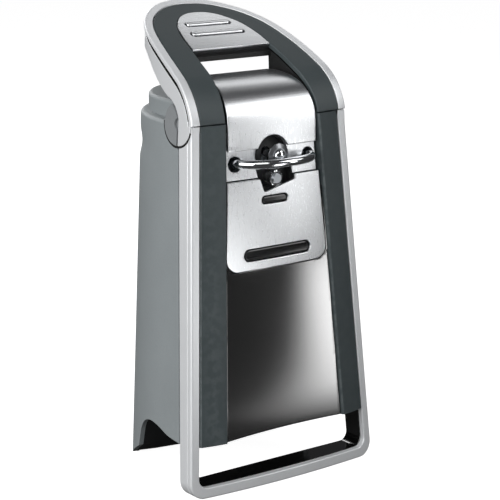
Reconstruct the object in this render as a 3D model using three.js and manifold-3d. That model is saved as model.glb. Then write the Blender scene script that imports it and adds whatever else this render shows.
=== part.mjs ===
// Electric can opener with a front carry loop, a sprung push-down lever and a geared motor inside.
// Millimetres, +Z up, the front faces -Y, the floor is z = 0.
import * as THREE from 'three';
import Module from 'manifold-3d';

const wasm = await Module();
wasm.setup();

// ---------------------------------------------------------------- driving dimensions
const HALF_WIDTH_FLOOR = 59.3; // half width of the silver frame at the floor
const TAPER = 0.0592; // half width lost per millimetre of height
const LEAN = 0.0756; // the front leans back this much per millimetre of height
const BOW = 3.4; // how far the frame's outer edge sits behind its middle
const FRAME_FACE = 4.75; // width of the silver face
const FRAME_BAR = 5.4; // height of the bottom bar of the loop
const BAND_REAR = 13.35; // rear edge of the silver side band, behind the lean line
const BODY_BOTTOM = 26.8;
const SEAM = 186.6; // seam between the body and the lever
const LEDGE = 187;
const TIER_TOP = 196;
const WALL = 2.6;
const GAP = 0.3;
const REAR_STRAIGHT = 35; // y where the straight side turns into the elliptical back
const REAR_BULGE = 66;
const PIVOT = [27.8, 186.7]; // y, z of the lever's axis
const EAR_RADIUS = 11;
const MODULE = 1.25; // gear module
const SMALL_TEETH = 12;
const LARGE_TEETH = 36;
const GEAR_CENTRES = 30.25;
const DRIVE_AXIS = [0.5, 156.5]; // x, z of the drive wheel
const CUTTER_AXIS = [-0.4, 168.4];
const DEPTH_CENTRE = 49.28; // taken off every y, so the box's centre is y = 0

const lean = (z) => LEAN * z;
const halfWidth = (z) => HALF_WIDTH_FLOOR - TAPER * z;
const bow = (x) => BOW * (x / HALF_WIDTH_FLOOR) ** 2;
const railInner = (z) => 38.88 - 0.0539 * z; // half width of the channel between the rails

// ---------------------------------------------------------------- materials
const paint = (colour, roughness, metalness) => ({ color: colour, roughness, metalness });
const SATIN_SILVER = paint(0xc3c6c9, 0.34, 0.9);
const SOFT_TOUCH = paint(0x39403f, 0.72, 0);
const TEXTURED_GREY = paint(0x4a5052, 0.78, 0);
const GLOSS_BLACK = paint(0x0a0b0c, 0.1, 0);
const BRUSHED_STEEL = paint(0xd0d2d4, 0.3, 1);
const CHROME = paint(0xe2e4e6, 0.1, 1);
const DARK_PLASTIC = paint(0x17191a, 0.55, 0);
const ZINC_STEEL = paint(0xa7abae, 0.42, 0.95);
const RUBBER = paint(0x101111, 0.9, 0);
const NYLON = paint(0xe8e4d6, 0.5, 0);
const LAMINATION = paint(0x6c6f72, 0.5, 0.85);
const COPPER = paint(0xb5622b, 0.38, 0.9);

// ---------------------------------------------------------------- solids
const signedArea = (loop) => THREE.ShapeUtils.area(loop.map(([u, v]) => new THREE.Vector2(u, v)));

// Cap triangles that turn the same way as the loop they fill.
function capOf(loop) {
  const flat = loop.map(([u, v]) => new THREE.Vector2(u, v));
  const turn = Math.sign(signedArea(loop));
  return THREE.ShapeUtils.triangulateShape(flat, []).map(([a, b, c]) =>
    Math.sign(signedArea([loop[a], loop[b], loop[c]])) === turn ? [a, b, c] : [a, c, b],
  );
}

// Skins equal loops of [x, y, z] into a closed solid; axis is the direction the loops follow.
function skin(loops, axis) {
  const n = loops[0].length;
  const flat = (loop) => loop.map((p) => [p[(axis + 1) % 3], p[(axis + 2) % 3]]);
  const points = loops.flat();
  const last = points.length - n;
  const faces = [];
  for (let s = 0; s + 1 < loops.length; s += 1) {
    for (let i = 0; i < n; i += 1) {
      const j = (i + 1) % n;
      const [a, b] = [s * n + i, s * n + j];
      faces.push([a, b, b + n], [a, b + n, a + n]);
    }
  }
  capOf(flat(loops[0])).forEach(([a, b, c]) => faces.push([a, c, b]));
  capOf(flat(loops[loops.length - 1])).forEach(([a, b, c]) => faces.push([a + last, b + last, c + last]));
  return toManifold(points, faces);
}

function toManifold(points, faces) {
  let volume = 0;
  const [p, q, r] = [new THREE.Vector3(), new THREE.Vector3(), new THREE.Vector3()];
  faces.forEach(([a, b, c]) => {
    p.fromArray(points[a]);
    q.fromArray(points[b]);
    r.fromArray(points[c]);
    volume += p.dot(q.cross(r));
  });
  const turned = volume < 0 ? faces.map(([a, b, c]) => [a, c, b]) : faces;
  const vertProperties = new Float32Array(points.flat());
  const triVerts = new Uint32Array(turned.flat());
  return new wasm.Manifold(new wasm.Mesh({ numProp: 3, vertProperties, triVerts }));
}

// Straight prisms along x, y and z from a loop in the other two directions.
const prismX = (loop, x0, x1) => skin([x0, x1].map((x) => loop.map(([y, z]) => [x, y, z])), 0);
const prismY = (loop, y0, y1) => skin([y0, y1].map((y) => loop.map(([x, z]) => [x, y, z])), 1);
const prismZ = (loop, z0, z1) => skin([z0, z1].map((z) => loop.map(([x, y]) => [x, y, z])), 2);
const box = (x0, x1, y0, y1, z0, z1) => prismZ([[x0, y0], [x1, y0], [x1, y1], [x0, y1]], z0, z1);

function circle([u, v], radius, sides, start = 0) {
  return Array.from({ length: sides }, (_, i) => {
    const angle = start + (2 * Math.PI * i) / sides;
    return [u + radius * Math.cos(angle), v + radius * Math.sin(angle)];
  });
}

const rodX = ([y, z], r, x0, x1, sides = 24) => prismX(circle([y, z], r, sides), x0, x1);
const rodY = ([x, z], r, y0, y1, sides = 24) => prismY(circle([x, z], r, sides), y0, y1);
const rodZ = ([x, y], r, z0, z1, sides = 24) => prismZ(circle([x, y], r, sides), z0, z1);

// Turned part about a y axis through [x, z]; profile is [radius, y] pairs, radius above zero.
function turnedY([x, z], profile, sides = 24) {
  const rings = profile.map(([r, y]) => circle([x, z], r, sides).map(([u, v]) => [u, y, v]));
  return skin(rings, 1);
}

const join = (...solids) => solids.reduce((a, b) => a.add(b));
const cut = (body, ...tools) => tools.reduce((a, b) => a.subtract(b), body);
const mirrored = (half) => [...half, ...half.slice(0, -1).reverse().map(([x, y]) => [-x, y])];
const smooth = (points, count) =>
  new THREE.SplineCurve(points.map(([u, v]) => new THREE.Vector2(u, v))).getPoints(count).map((p) => [p.x, p.y]);

// A stadium slot in x-z with rounded ends.
function stadium([x0, x1], [z0, z1], steps = 6) {
  const r = (z1 - z0) / 2;
  const middle = (z0 + z1) / 2;
  const end = (cx, from) =>
    Array.from({ length: steps + 1 }, (_, i) => {
      const angle = from + (Math.PI * i) / steps;
      return [cx + r * Math.cos(angle), middle + r * Math.sin(angle)];
    });
  return [...end(x1 - r, -Math.PI / 2), ...end(x0 + r, Math.PI / 2)];
}

// Leans a flat-front solid: y grows with height, and with the bow toward the sides.
const leaned = (amount = 1) => (x, y, z) => [x, y + lean(z) + amount * bow(x), z];
const upright = (x, y, z) => [x, y, z];

const group = new THREE.Group();
group.name = 'electric_can_opener';

function addPart(name, solid, look, shape = upright) {
  const { vertProperties, triVerts, numProp } = solid.getMesh();
  const points = [];
  for (let i = 0; i < vertProperties.length; i += numProp) {
    const [x, y, z] = shape(vertProperties[i], vertProperties[i + 1], vertProperties[i + 2]);
    points.push(x, y - DEPTH_CENTRE, z);
  }
  const geometry = new THREE.BufferGeometry();
  geometry.setAttribute('position', new THREE.Float32BufferAttribute(points, 3));
  geometry.setIndex(Array.from(triVerts));
  geometry.computeVertexNormals();
  const mesh = new THREE.Mesh(geometry, new THREE.MeshStandardMaterial(look));
  mesh.name = name;
  group.add(mesh);
}

// Moves a solid's vertices and makes a solid of the result again.
function bend(solid, shape) {
  const { vertProperties, triVerts, numProp } = solid.getMesh();
  const points = [];
  const faces = [];
  for (let i = 0; i < vertProperties.length; i += numProp) {
    points.push(shape(vertProperties[i], vertProperties[i + 1], vertProperties[i + 2]));
  }
  for (let i = 0; i < triVerts.length; i += 3) faces.push([triVerts[i], triVerts[i + 1], triVerts[i + 2]]);
  return toManifold(points, faces);
}

const mirrorX = (solid) => bend(solid, (x, y, z) => [-x, y, z]);

// ---------------------------------------------------------------- silver frame and carry loop
// One edge of the U-shaped frame in x-z: down the right side, round the corner, to the middle of the floor.
function frameEdge(inset, top, floor, corner) {
  const side = (z) => halfWidth(z) - inset;
  const edge = [[side(top), top]];
  for (let i = 0; i <= 5; i += 1) {
    const angle = (i * Math.PI) / 10;
    const [c, s] = [Math.cos(angle), Math.sin(angle)];
    edge.push([side(floor + corner) - corner * (1 - c), floor + corner * (1 - s)]);
  }
  const end = edge[edge.length - 1][0];
  [0.75, 0.5, 0.25, 0].forEach((f) => edge.push([end * f, floor]));
  return mirrored(edge);
}

// Sweeps a rectangle between two edges of the frame, from one depth to another behind its face.
function frameSolid(outer, inner, front, rear) {
  const sections = outer.map(([x, z], i) => {
    const [u, v] = inner[i];
    return [[x, front(x, z), z], [u, front(u, v), v], [u, rear(u, v), v], [x, rear(x, z), z]];
  });
  return skin(sections, 2);
}

// Round pockets, one per side, in which the lever's ears turn.
const earPockets = (radius, from) => {
  const pocket = rodX(PIVOT, radius, from, 70, 40);
  return [pocket, mirrorX(pocket)];
};
const outerPockets = earPockets(EAR_RADIUS + 0.27, 40.5);

function buildFrame() {
  const top = SEAM - 0.3;
  const face = (x, z) => lean(z) + bow(x);
  const behind = (x, z) => face(x, z) + 3.3;
  const outer = frameEdge(0, top, 0, 8);
  const inner = frameEdge(FRAME_FACE, top, FRAME_BAR, 5);
  const bezel = frameSolid(outer, inner, face, (x, z) => face(x, z) + 3);
  addPart('front_bezel_ring', cut(bezel, ...outerPockets), SATIN_SILVER);
  // The band's rear edge is a flat plane; only its front follows the bow.
  const band = frameSolid(outer, frameEdge(3.1, top, 3.6, 6), behind, (x, z) => lean(z) + BAND_REAR);
  addPart('frame_side_band', cut(band, ...outerPockets), SATIN_SILVER);
  const linerTop = BODY_BOTTOM - 0.4;
  const linerOuter = frameEdge(3.5, linerTop, 4, 5.8);
  const liner = frameSolid(linerOuter, frameEdge(FRAME_FACE, linerTop, FRAME_BAR, 5), behind, (x, z) => lean(z) + 17.8);
  addPart('loop_liner', liner, GLOSS_BLACK);
}

const CHEEK_RADIUS = 10.4;

// ---------------------------------------------------------------- rails, crown and front plates
// The crown is the hump between the lever's two arms; outline in y-z, top surface first.
const CROWN_TOP = smooth(
  [[13.1, 172.3], [13.7, 180], [14.3, 186.5], [15.7, 191.5], [18.3, 196.2], [22, 200.1], [27, 203.1], [33, 205],
    [40, 206.1], [47, 206.2], [53, 204.9], [57.3, 201.8], [59.2, 196.8]], 20);
const CROWN_PLAN = mirrored([[28, -5], [27.7, 14], [26.3, 20.4], [24.9, 30.7], [24.3, 40.1], [22.4, 48.1], [21.6, 56],
  [19, 61.5], [0, 62.5]]);

function insetProfile(profile, depth) {
  return profile.map((p, i) => {
    const a = profile[Math.max(0, i - 1)];
    const b = profile[Math.min(profile.length - 1, i + 1)];
    const length = Math.hypot(b[0] - a[0], b[1] - a[1]);
    return [p[0] + (depth * (b[1] - a[1])) / length, p[1] - (depth * (b[0] - a[0])) / length];
  });
}

function railSection(z) {
  const [outer, inner, y] = [halfWidth(z) - FRAME_FACE - GAP, railInner(z), lean(z)];
  const half = [[outer, y + 8], [outer, y + 2.9], [outer - 0.7, y + 2.1], [(outer + inner) / 2, y + 0.5],
    [inner + 0.9, y - 0.5], [inner, y + 0.2], [inner, y + 5.6]];
  return [...half, ...half.slice().reverse().map(([x, v]) => [-x, v])].map(([x, v]) => [x, v, z]);
}

function buildFrontShell() {
  const channel = skin([railSection(BODY_BOTTOM), railSection(SEAM - 0.3)], 2);
  const outline = insetProfile(CROWN_TOP.slice(5), 1.6);
  const crownLoop = [...outline, [41, 196.8], [38.8, 196.8], [38.8, 182], [lean(182) + 5.8, 182]];
  const hollowLoop = [...insetProfile(CROWN_TOP.slice(6, 12), 4), [36.6, 201], [36.6, 181], [lean(182) + 8.2, 181]];
  const crown = prismX(crownLoop, -27.4, 27.4).intersect(prismZ(insetPlan(CROWN_PLAN, 0.4), 180, 210));
  const hollow = prismX(hollowLoop, -22, 22);
  const barPassage = box(-40, 40, 31.5, 40, 181, 195.4);
  const wellHole = prismY(circle(CUTTER_AXIS, 11.4, 28), -5, 40).add(box(-12, 14, -5, 40, 149.6, 162));
  const posts = [-1, 1].map((side) => pivotPost(side));
  const bosses = CHASSIS_SCREWS.map(([x, z]) => rodY([x, z], 4, lean(z) + 7, CHASSIS_FRONT - 0.3, 16));
  const shell = join(channel, cut(crown, hollow, barPassage), ...posts, ...bosses);
  const screwHoles = CHASSIS_SCREWS.map(([x, z]) => rodY([x, z], 1.9, lean(z) + 5.6, 30, 14));
  const pinHoles = rodX(PIVOT, 2.8, -60, 60, 20);
  const cheekPockets = earPockets(CHEEK_RADIUS + 0.35, 39.8);
  addPart('front_shell', cut(shell, wellHole, pinHoles, ...guideHoles(4.4, 40), ...screwHoles, ...cheekPockets), SOFT_TOUCH);
}

// Post beside the crown that carries one pivot pin, rising from the rear of the rail.
function pivotPost(side) {
  const loop = [[17, 160], [21, 160], [31.5, 180], [33.2, 186.7], [31.2, 191.2], [26, 191.2], [22.8, 187], [20.5, 180]];
  const [near, far] = [34.2, 39.2].map((x) => side * x);
  return prismX(loop, Math.min(near, far), Math.max(near, far));
}

const insetPlan = (loop, by) => loop.map(([x, y]) => [x - Math.sign(x) * by, y]);
const guideHoles = (r, depth) => [-23.1, 23.1].map((x) => rodY([x, 165.6], r, -5, depth, 18));

function buildFrontPlates() {
  const rear = insetProfile(CROWN_TOP, 1.25);
  const recess = prismY(circle(CUTTER_AXIS, 10.1, 32), -20, 40);
  const sheet = prismX([...CROWN_TOP, ...rear.slice().reverse()], -29, 29).intersect(prismZ(CROWN_PLAN, 150, 230));
  addPart('upper_cover_plate', cut(sheet, recess), BRUSHED_STEEL);

  // The band runs on behind the upper plate, which ties its two halves together over the recess.
  const bandLoop = [[-28.6, 157.5], [28.6, 157.5], [27.6, 181.5], [-27.6, 181.5]];
  const windowLoop = [[-11.1, 163], [-6.9, 150.2], [12.9, 154.9], [11.5, 163]];
  const window = prismY(windowLoop, -20, 40);
  const band = cut(prismY(bandLoop, 2, 3.6), recess, window, ...guideHoles(4, 20));
  addPart('guide_band_plate', band, BRUSHED_STEEL, leaned(0));

  const slots = [SMALL_SLOT, LONG_SLOT].map(([x, z]) => prismY(stadium(x, z), -20, 20));
  const lower = cut(prismY(lowerPlateOutline(0), 0.3, 1.9), window, ...slots);
  addPart('lower_cover_plate', lower, BRUSHED_STEEL, leaned(0));
  const inset = ([x, z], by) => [[x[0] + by, x[1] - by], [z[0] + by, z[1] - by]];
  const pad = (slot) => prismY(stadium(...inset(slot, 0.3)), 0.8, 2.9);
  addPart('can_rest_pad_small', pad(SMALL_SLOT), GLOSS_BLACK, leaned(0));
  addPart('can_rest_pad_long', pad(LONG_SLOT), GLOSS_BLACK, leaned(0));
}

// Outline of the lower cover plate in x-z, grown all round by a margin.
function lowerPlateOutline(margin) {
  const radius = 7 + margin;
  const [side, bottom] = [31.9 + margin, 111.8 - margin];
  const corner = [0, 1, 2, 3, 4].map((i) => {
    const angle = (-Math.PI / 8) * i;
    return [side - radius + radius * Math.cos(angle), bottom + radius + radius * Math.sin(angle)];
  });
  const half = [[28.9 + margin, 157.1 + margin], [30.1 + margin, 140], ...corner];
  return [...half, ...half.slice().reverse().map(([x, z]) => [-x, z])];
}

const SMALL_SLOT = [[-9, 7.8], [144, 148.4]];
const LONG_SLOT = [[-21.2, 21], [116.2, 122.6]];

// The gloss panel is slightly dished and runs up behind the two cover plates.
function buildGlossPanel() {
  const section = (z) => {
    const side = railInner(z) - 0.35;
    const dish = (x) => 1 + 2.2 * (1 - (x / side) ** 2);
    const front = [-1, -0.75, -0.5, -0.25, 0, 0.25, 0.5, 0.75, 1].map((f) => [f * side, lean(z) + dish(f * side)]);
    return [...front, [side, lean(z) + 5.2], [-side, lean(z) + 5.2]].map(([x, y]) => [x, y, z]);
  };
  const panel = skin([section(BODY_BOTTOM), section(149)], 2);
  const plateSeat = bend(prismY(lowerPlateOutline(0.6), -5, 2.2), leaned(0));
  const padSeats = [SMALL_SLOT, LONG_SLOT].map((slot) => bend(prismY(stadium(...slot), -3, 3.3), leaned(0)));
  addPart('gloss_front_panel', cut(panel, plateSeat, ...padSeats), GLOSS_BLACK);
}

function buildGuideBar() {
  const half = [[23.1, 7.5, 165.6], [23.1, 1.5, 165.6], [22.6, -3.6, 165.4], [20.2, -7.9, 165.1], [15.6, -10.8, 164.8],
    [8.5, -12.4, 164.5]];
  const points = [...half, [0, -12.8, 164.4], ...half.slice().reverse().map(([x, y, z]) => [-x, y, z])];
  const path = new THREE.CatmullRomCurve3(points.map(([x, y, z]) => new THREE.Vector3(x, y + lean(165), z)));
  const round = new THREE.Shape().absarc(0, 0, 2.3, 0, 2 * Math.PI);
  const tube = new THREE.ExtrudeGeometry(round, { steps: 22, curveSegments: 5, extrudePath: path });
  addPart('can_guide_bar', fromGeometry(tube), CHROME);
}

// Welds a three.js geometry into one solid.
function fromGeometry(geometry) {
  const position = geometry.getAttribute('position');
  const seen = new Map();
  const points = [];
  const faces = [];
  for (let i = 0; i < position.count; i += 3) {
    const face = [0, 1, 2].map((j) => {
      const p = [position.getX(i + j), position.getY(i + j), position.getZ(i + j)];
      const key = p.map((v) => v.toFixed(4)).join();
      if (!seen.has(key)) {
        seen.set(key, points.length);
        points.push(p);
      }
      return seen.get(key);
    });
    if (new Set(face).size === 3) faces.push(face);
  }
  return toManifold(points, faces);
}

// Slot along z with round ends, from below to above its centre.
function verticalSlot([x, z], r, below, above, y0, y1) {
  const ends = [rodY([x, z + below], r, y0, y1, 20), rodY([x, z + above], r, y0, y1, 20)];
  return join(...ends, box(x - r, x + r, y0, y1, z + below, z + above));
}

// Dark cup behind the recess; its floor lets the cutter's axle and the drive shaft through.
function buildCutterWell() {
  const rim = join(rodY(CUTTER_AXIS, 11, 4, 8.4, 28), box(-11.6, 13.6, 4, 8.4, 150, 161.6));
  const hollow = join(rodY(CUTTER_AXIS, 9.6, 0, 7, 28), box(-9.8, 12, 0, 7, 151.8, 161));
  const axleSlot = verticalSlot(CUTTER_AXIS, 3, -2.4, 0.4, -10, 50);
  const shaftHole = rodY(DRIVE_AXIS, 3.2, -10, 50, 20);
  addPart('cutter_well', cut(bend(cut(rim, hollow), leaned(0)), axleSlot, shaftHole), DARK_PLASTIC);
}

// ---------------------------------------------------------------- rear housing
function rearLoop(z, inset, front) {
  const side = halfWidth(z) - inset;
  const groove = z > 163 && z < 181 ? 3 * (1 - Math.abs(z - 171) / 9) : 0;
  const bulge = REAR_BULGE - inset - Math.max(0, groove);
  const back = Array.from({ length: 23 }, (_, i) => {
    const angle = (i * Math.PI) / 22;
    return [side * Math.cos(angle), REAR_STRAIGHT + bulge * Math.sin(angle)];
  });
  return [[side, front], ...back, [-side, front]].map(([x, y]) => [x, y, z]);
}

const REAR_STATIONS = [0.6, 60, 120, 163, 171, 180, LEDGE];
const footEdge = (x) => 76 + 6 * (x / 37.6) ** 2;

// The hollow under the body: raised floor in front, sweeping down to the rear foot.
function underCut(dy, dz) {
  const section = (x) => {
    const edge = footEdge(x);
    const path = [[-20, 27], [16, 27.2], [26, 28.4], [36, 31.6], [43, 32.2], [48.5, 30.4], [52.6, 26], [54.6, 20],
      [56, 14.4], [(56 + edge) / 2, 5.6], [edge, 0]];
    const moved = path.map(([y, z]) => [x, y + dy, z + dz]);
    return [...moved, [x, edge + 2 + dy, -6], [x, -20, -6]];
  };
  return skin([-64, -44, -28, -14, 0, 14, 28, 44, 64].map(section), 0);
}

function buildRearHousing() {
  const rearLoops = (inset, stations) => skin(stations.map((z) => rearLoop(z, inset, 10)), 2);
  const outer = rearLoops(0, REAR_STATIONS);
  const inner = rearLoops(WALL, [-2, 60, 120, 163, 171, 180, LEDGE - WALL]);
  const tierLoop = (grow) => circle([0, 45], 1, 40).map(([x, y]) => [x * (41 - grow), 45 + (y - 45) * (52 - grow)]);
  const tier = prismZ(tierLoop(0), LEDGE - 0.5, TIER_TOP);
  const tierHollow = prismZ(tierLoop(WALL), LEDGE - 6, TIER_TOP - WALL);
  const frontCut = skin([-5, 200].map((z) => {
    const y = lean(z) + BAND_REAR + GAP;
    return [[-70, -20, z], [70, -20, z], [70, y, z], [-70, y, z]];
  }), 2);
  const saddle = box(-45.6, 45.6, -10, 41, 172, 230);
  const sideRelief = box(-70, 70, -10, 40.4, SEAM - 0.2, 230);
  const glandHole = rodY([0, 46], 5.3, 60, 110, 20);
  const shell = cut(join(outer, tier), inner, tierHollow, frontCut, saddle, sideRelief, ...outerPockets, underCut(0, 0));
  addPart('rear_housing', cut(shell, glandHole), TEXTURED_GREY);
  const gland = join(rodY([0, 46], 5, 95, 100.8, 20), rodY([0, 46], 7.4, 94.6, 97.4, 20));
  addPart('cord_gland', cut(gland, rodY([0, 46], 2.6, 70, 110, 14)), RUBBER);
}

function buildBaseCover() {
  const inside = skin([-2, 60].map((z) => rearLoop(z, WALL + GAP, lean(z) + BAND_REAR + 0.8)), 2);
  const tongue = box(-51.5, 51.5, 10.6, 24, 20, 60);
  const bosses = [-26, 26].map((x) => rodZ([x, 40], 4, 33, 44, 16));
  const sweep = cut(underCut(1.6, 2.4), underCut(0.01, 0.3)).intersect(join(inside, tongue));
  const footFloor = cut(inside.intersect(box(-60, 60, 50, 110, 4.3, 6.3)), underCut(0.01, 0.3));
  const sheet = join(sweep, footFloor).intersect(box(-60, 60, 0, 110, 0.8, 60));
  const screwHoles = [-26, 26].map((x) => rodZ([x, 40], 1.9, 10, 50, 12));
  addPart('base_cover', cut(join(sheet, ...bosses), ...screwHoles), DARK_PLASTIC);
  const names = ['left', 'right'];
  [-1, 1].forEach((side, i) => {
    const front = [6, 13, 20, 27].map((x) => [side * x, footEdge(x) + 6.6]);
    const rear = [27, 20, 13, 6].map((x) => {
      const reach = (REAR_BULGE - 3.4) * Math.sqrt(1 - (x / (HALF_WIDTH_FLOOR - 3.4)) ** 2);
      return [side * x, REAR_STRAIGHT + reach];
    });
    addPart(`rear_foot_pad_${names[i]}`, prismZ([...front, ...rear], 0, 4), RUBBER);
    const screw = join(rodZ([side * 26, 40], 1.6, 32.5, 42, 12), rodZ([side * 26, 40], 3.2, 30.6, 31.6, 12));
    addPart(`base_screw_${names[i]}`, join(screw, rodZ([side * 26, 40], 1.6, 31, 33, 12)), ZINC_STEEL);
  });
}

// ---------------------------------------------------------------- lever
const LEVER_TOP = smooth(
  [[13.2, 186.95], [14.2, 191], [16.8, 196.4], [21, 201.8], [26.6, 206.6], [33.2, 210.8], [40, 214.7], [48, 219],
    [57, 223.5], [68, 228.6], [79, 233.2], [88, 236.9], [96.6, 240.4]], 18);
const LEVER_OUTER = smooth([[48.3, 6], [48.2, 16], [47, 28.8], [45.3, 42.5], [43.5, 52.3], [41.2, 61.8], [37.4, 71.6],
  [30.8, 81.4], [20.6, 89.8], [10.5, 94.1], [0, 95.4]], 18);
const RIM_INNER = smooth([[43.6, 6], [43.5, 15.9], [42.4, 28.8], [40.7, 42.5], [38.9, 52.3], [36.9, 60.6], [33.5, 69.8],
  [27.3, 79], [17.4, 86.7], [8.6, 90], [0, 90.9]], 18);
const INSERT_EDGE = smooth([[28.9, 6], [28.8, 12.9], [27.5, 20.4], [26.1, 30.7], [25.4, 40.1], [24.3, 48.1], [22.9, 58.3],
  [19.6, 68.2], [12.9, 76.6], [6.4, 80.2], [0, 81.2]], 16);
const WINDOW_REAR = 48.6;

const grown = (half, by) =>
  half.map(([x, y], i) => {
    const a = half[Math.max(0, i - 1)];
    const b = half[Math.min(half.length - 1, i + 1)];
    const length = Math.hypot(b[0] - a[0], b[1] - a[1]);
    const moved = [x + (by * (b[1] - a[1])) / length, y - (by * (b[0] - a[0])) / length];
    return i === half.length - 1 ? [0, y + by] : moved;
  });
const plan = (half, by, z0 = 150, z1 = 260) => prismZ(mirrored(grown(half, by)), z0, z1);
const slab = (from, to) =>
  prismX([...insetProfile(LEVER_TOP, from), ...insetProfile(LEVER_TOP, to).reverse()], -60, 60);
// Height of the lever's top surface at a depth y.
function leverTopAt(y) {
  const i = Math.max(1, LEVER_TOP.findIndex(([v]) => v > y));
  const [a, b] = [LEVER_TOP[i - 1], LEVER_TOP[i]];
  return a[1] + ((b[1] - a[1]) * (THREE.MathUtils.clamp(y, a[0], b[0]) - a[0])) / (b[0] - a[0]);
}

// The arms follow the frame's bow where they meet it, and the sides widen downwards as the frame does.
const bowed = (x, y, z) => [x, y + bow(x) * THREE.MathUtils.clamp((30 - y) / 14, 0, 1), z];
const flared = (x, y, z) => [x * (1 + 0.00125 * Math.max(0, leverTopAt(y) - z)), y, z];
const leverShape = (x, y, z) => flared(...bowed(x, y, z));
const aboveSeam = box(-60, 60, 0, 110, SEAM + 0.3, 260);

// Lower edge of the lever's side in y-z, from the ear up and back to the rear.
const SKIRT_EDGE = [[28.1, 175], [28.1, 189.6], [31.2, 194.6], [36, 197.9], [40, 199.2], [49.5, 204.4], [56.4, 209.3],
  [62.5, 214], [73, 219], [99, 222]];

function buildLever() {
  const window = plan(INSERT_EDGE, 0.3).intersect(box(-60, 60, -10, WINDOW_REAR - 0.3, 150, 260));
  const rim = slab(0, 5).intersect(cut(plan(LEVER_OUTER, 0), plan(RIM_INNER, 0))).intersect(aboveSeam);
  addPart('lever_rim', rim, SATIN_SILVER, leverShape);
  const top = cut(slab(0.2, 3).intersect(cut(plan(RIM_INNER, -0.3), plan(INSERT_EDGE, 0.3))), window);
  addPart('lever_top_shell', top.intersect(aboveSeam), SOFT_TOUCH, leverShape);

  const insertRegion = plan(INSERT_EDGE, 0).intersect(box(-60, 60, WINDOW_REAR, 100, 150, 260));
  const insert = slab(0, 2.2).intersect(insertRegion);
  const bars = [[60.8, 16.4, 'front'], [69.4, 13.8, 'rear']];
  const wells = bars.map(([y, half]) => box(-half, half, y - 1.7, y + 1.7, 200, 260));
  addPart('palm_insert', cut(insert, ...wells), BRUSHED_STEEL);
  bars.forEach(([y, half, name]) => {
    const shape = box(-half + 0.3, half - 0.3, y - 1.4, y + 1.4, 200, 260);
    addPart(`palm_grip_bar_${name}`, slab(-0.7, 1.9).intersect(shape), BRUSHED_STEEL);
  });
  buildSkirt();
  buildInnerShell(window);
}

// Everything of the lever's side below its top surface and above its lower edge, lowered by a drop.
function sideRegion(from, drop = 0) {
  const above = insetProfile(LEVER_TOP, from);
  const edge = SKIRT_EDGE.map(([y, z]) => [y, z - drop]);
  return prismX([...above, [99, above[above.length - 1][1]], ...edge.slice().reverse()], -60, 60);
}

// Room the rim takes above an ear.
const rimSpace = bend(
  prismX([...insetProfile(LEVER_TOP.slice(0, 10), -4), ...insetProfile(LEVER_TOP.slice(0, 10), 5.3).reverse()], 40, 50),
  bowed,
).intersect(box(-60, 60, 0, 60, SEAM, 260));

function buildSkirt() {
  const half = rodX(PIVOT, EAR_RADIUS, 44.7, 47, 48).intersect(box(40, 60, 10, 27.8, 170, 200));
  const ear = cut(half, rimSpace);
  const ring = cut(plan(LEVER_OUTER, -0.3, 187), plan(LEVER_OUTER, -2.5, 186));
  const body = sideRegion(5.3).intersect(ring).intersect(aboveSeam);
  addPart('lever_skirt', join(bend(body, bowed), ear, mirrorX(ear)), SATIN_SILVER, flared);
}

// Dark inner moulding: underside, window walls, and the two eared cheeks that turn on the pivot pins.
function buildInnerShell(window) {
  const under = slab(3.4, 5.6).intersect(cut(plan(RIM_INNER, -0.6), window));
  const strips = cut(plan(INSERT_EDGE, 2.4), plan(INSERT_EDGE, 0.3)).intersect(box(-60, 60, -10, 50, 150, 260));
  const walls = slab(3.4, 14).intersect(strips).intersect(box(-60, 60, -10, 60, SEAM + 0.6, 260));
  const web = [[22.5, 191], [28, 175.6], [38.9, 184], [39, 188], [38.8, 198.6], [46, 203.4], [55, 209.5],
    [60, 219], [40, 209], [30, 203], [24.5, 198]];
  const cheekPlate = prismX(web, 40.2, 42.6).intersect(plan(RIM_INNER, -0.6));
  const disc = rodX(PIVOT, CHEEK_RADIUS, 41.2, 43.8, 32);
  const rearHalf = cut(rodX(PIVOT, EAR_RADIUS, 43.6, 47, 48).intersect(box(40, 60, 28.6, 40, 170, 199)), sideRegion(0, 0.8));
  const cheek = cut(join(disc, rearHalf, cheekPlate), rodX(PIVOT, 2.9, 30, 60, 20), rimSpace);
  const shell = join(bend(join(under, walls).intersect(aboveSeam), bowed), cheek, mirrorX(cheek));
  addPart('lever_inner_shell', shell, DARK_PLASTIC, flared);
  addPart('lever_cross_bar', box(-41, 41, 34.6, 38, 187.6, 190.8), ZINC_STEEL);
  ['left', 'right'].forEach((name, i) => {
    const pin = rodX(PIVOT, 2.5, 34.6, 44.6, 20);
    addPart(`pivot_pin_${name}`, i ? pin : mirrorX(pin), ZINC_STEEL);
  });
}

// ---------------------------------------------------------------- chassis, cutter and lever works
const CHASSIS_FRONT = 22.4;
const CHASSIS_REAR = 24;
const CHASSIS_SCREWS = [[-26, 70], [26, 70], [-18, 176], [18, 176]];
const PILLARS = [[-24, 62], [24, 62], [27, 101]];

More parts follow.
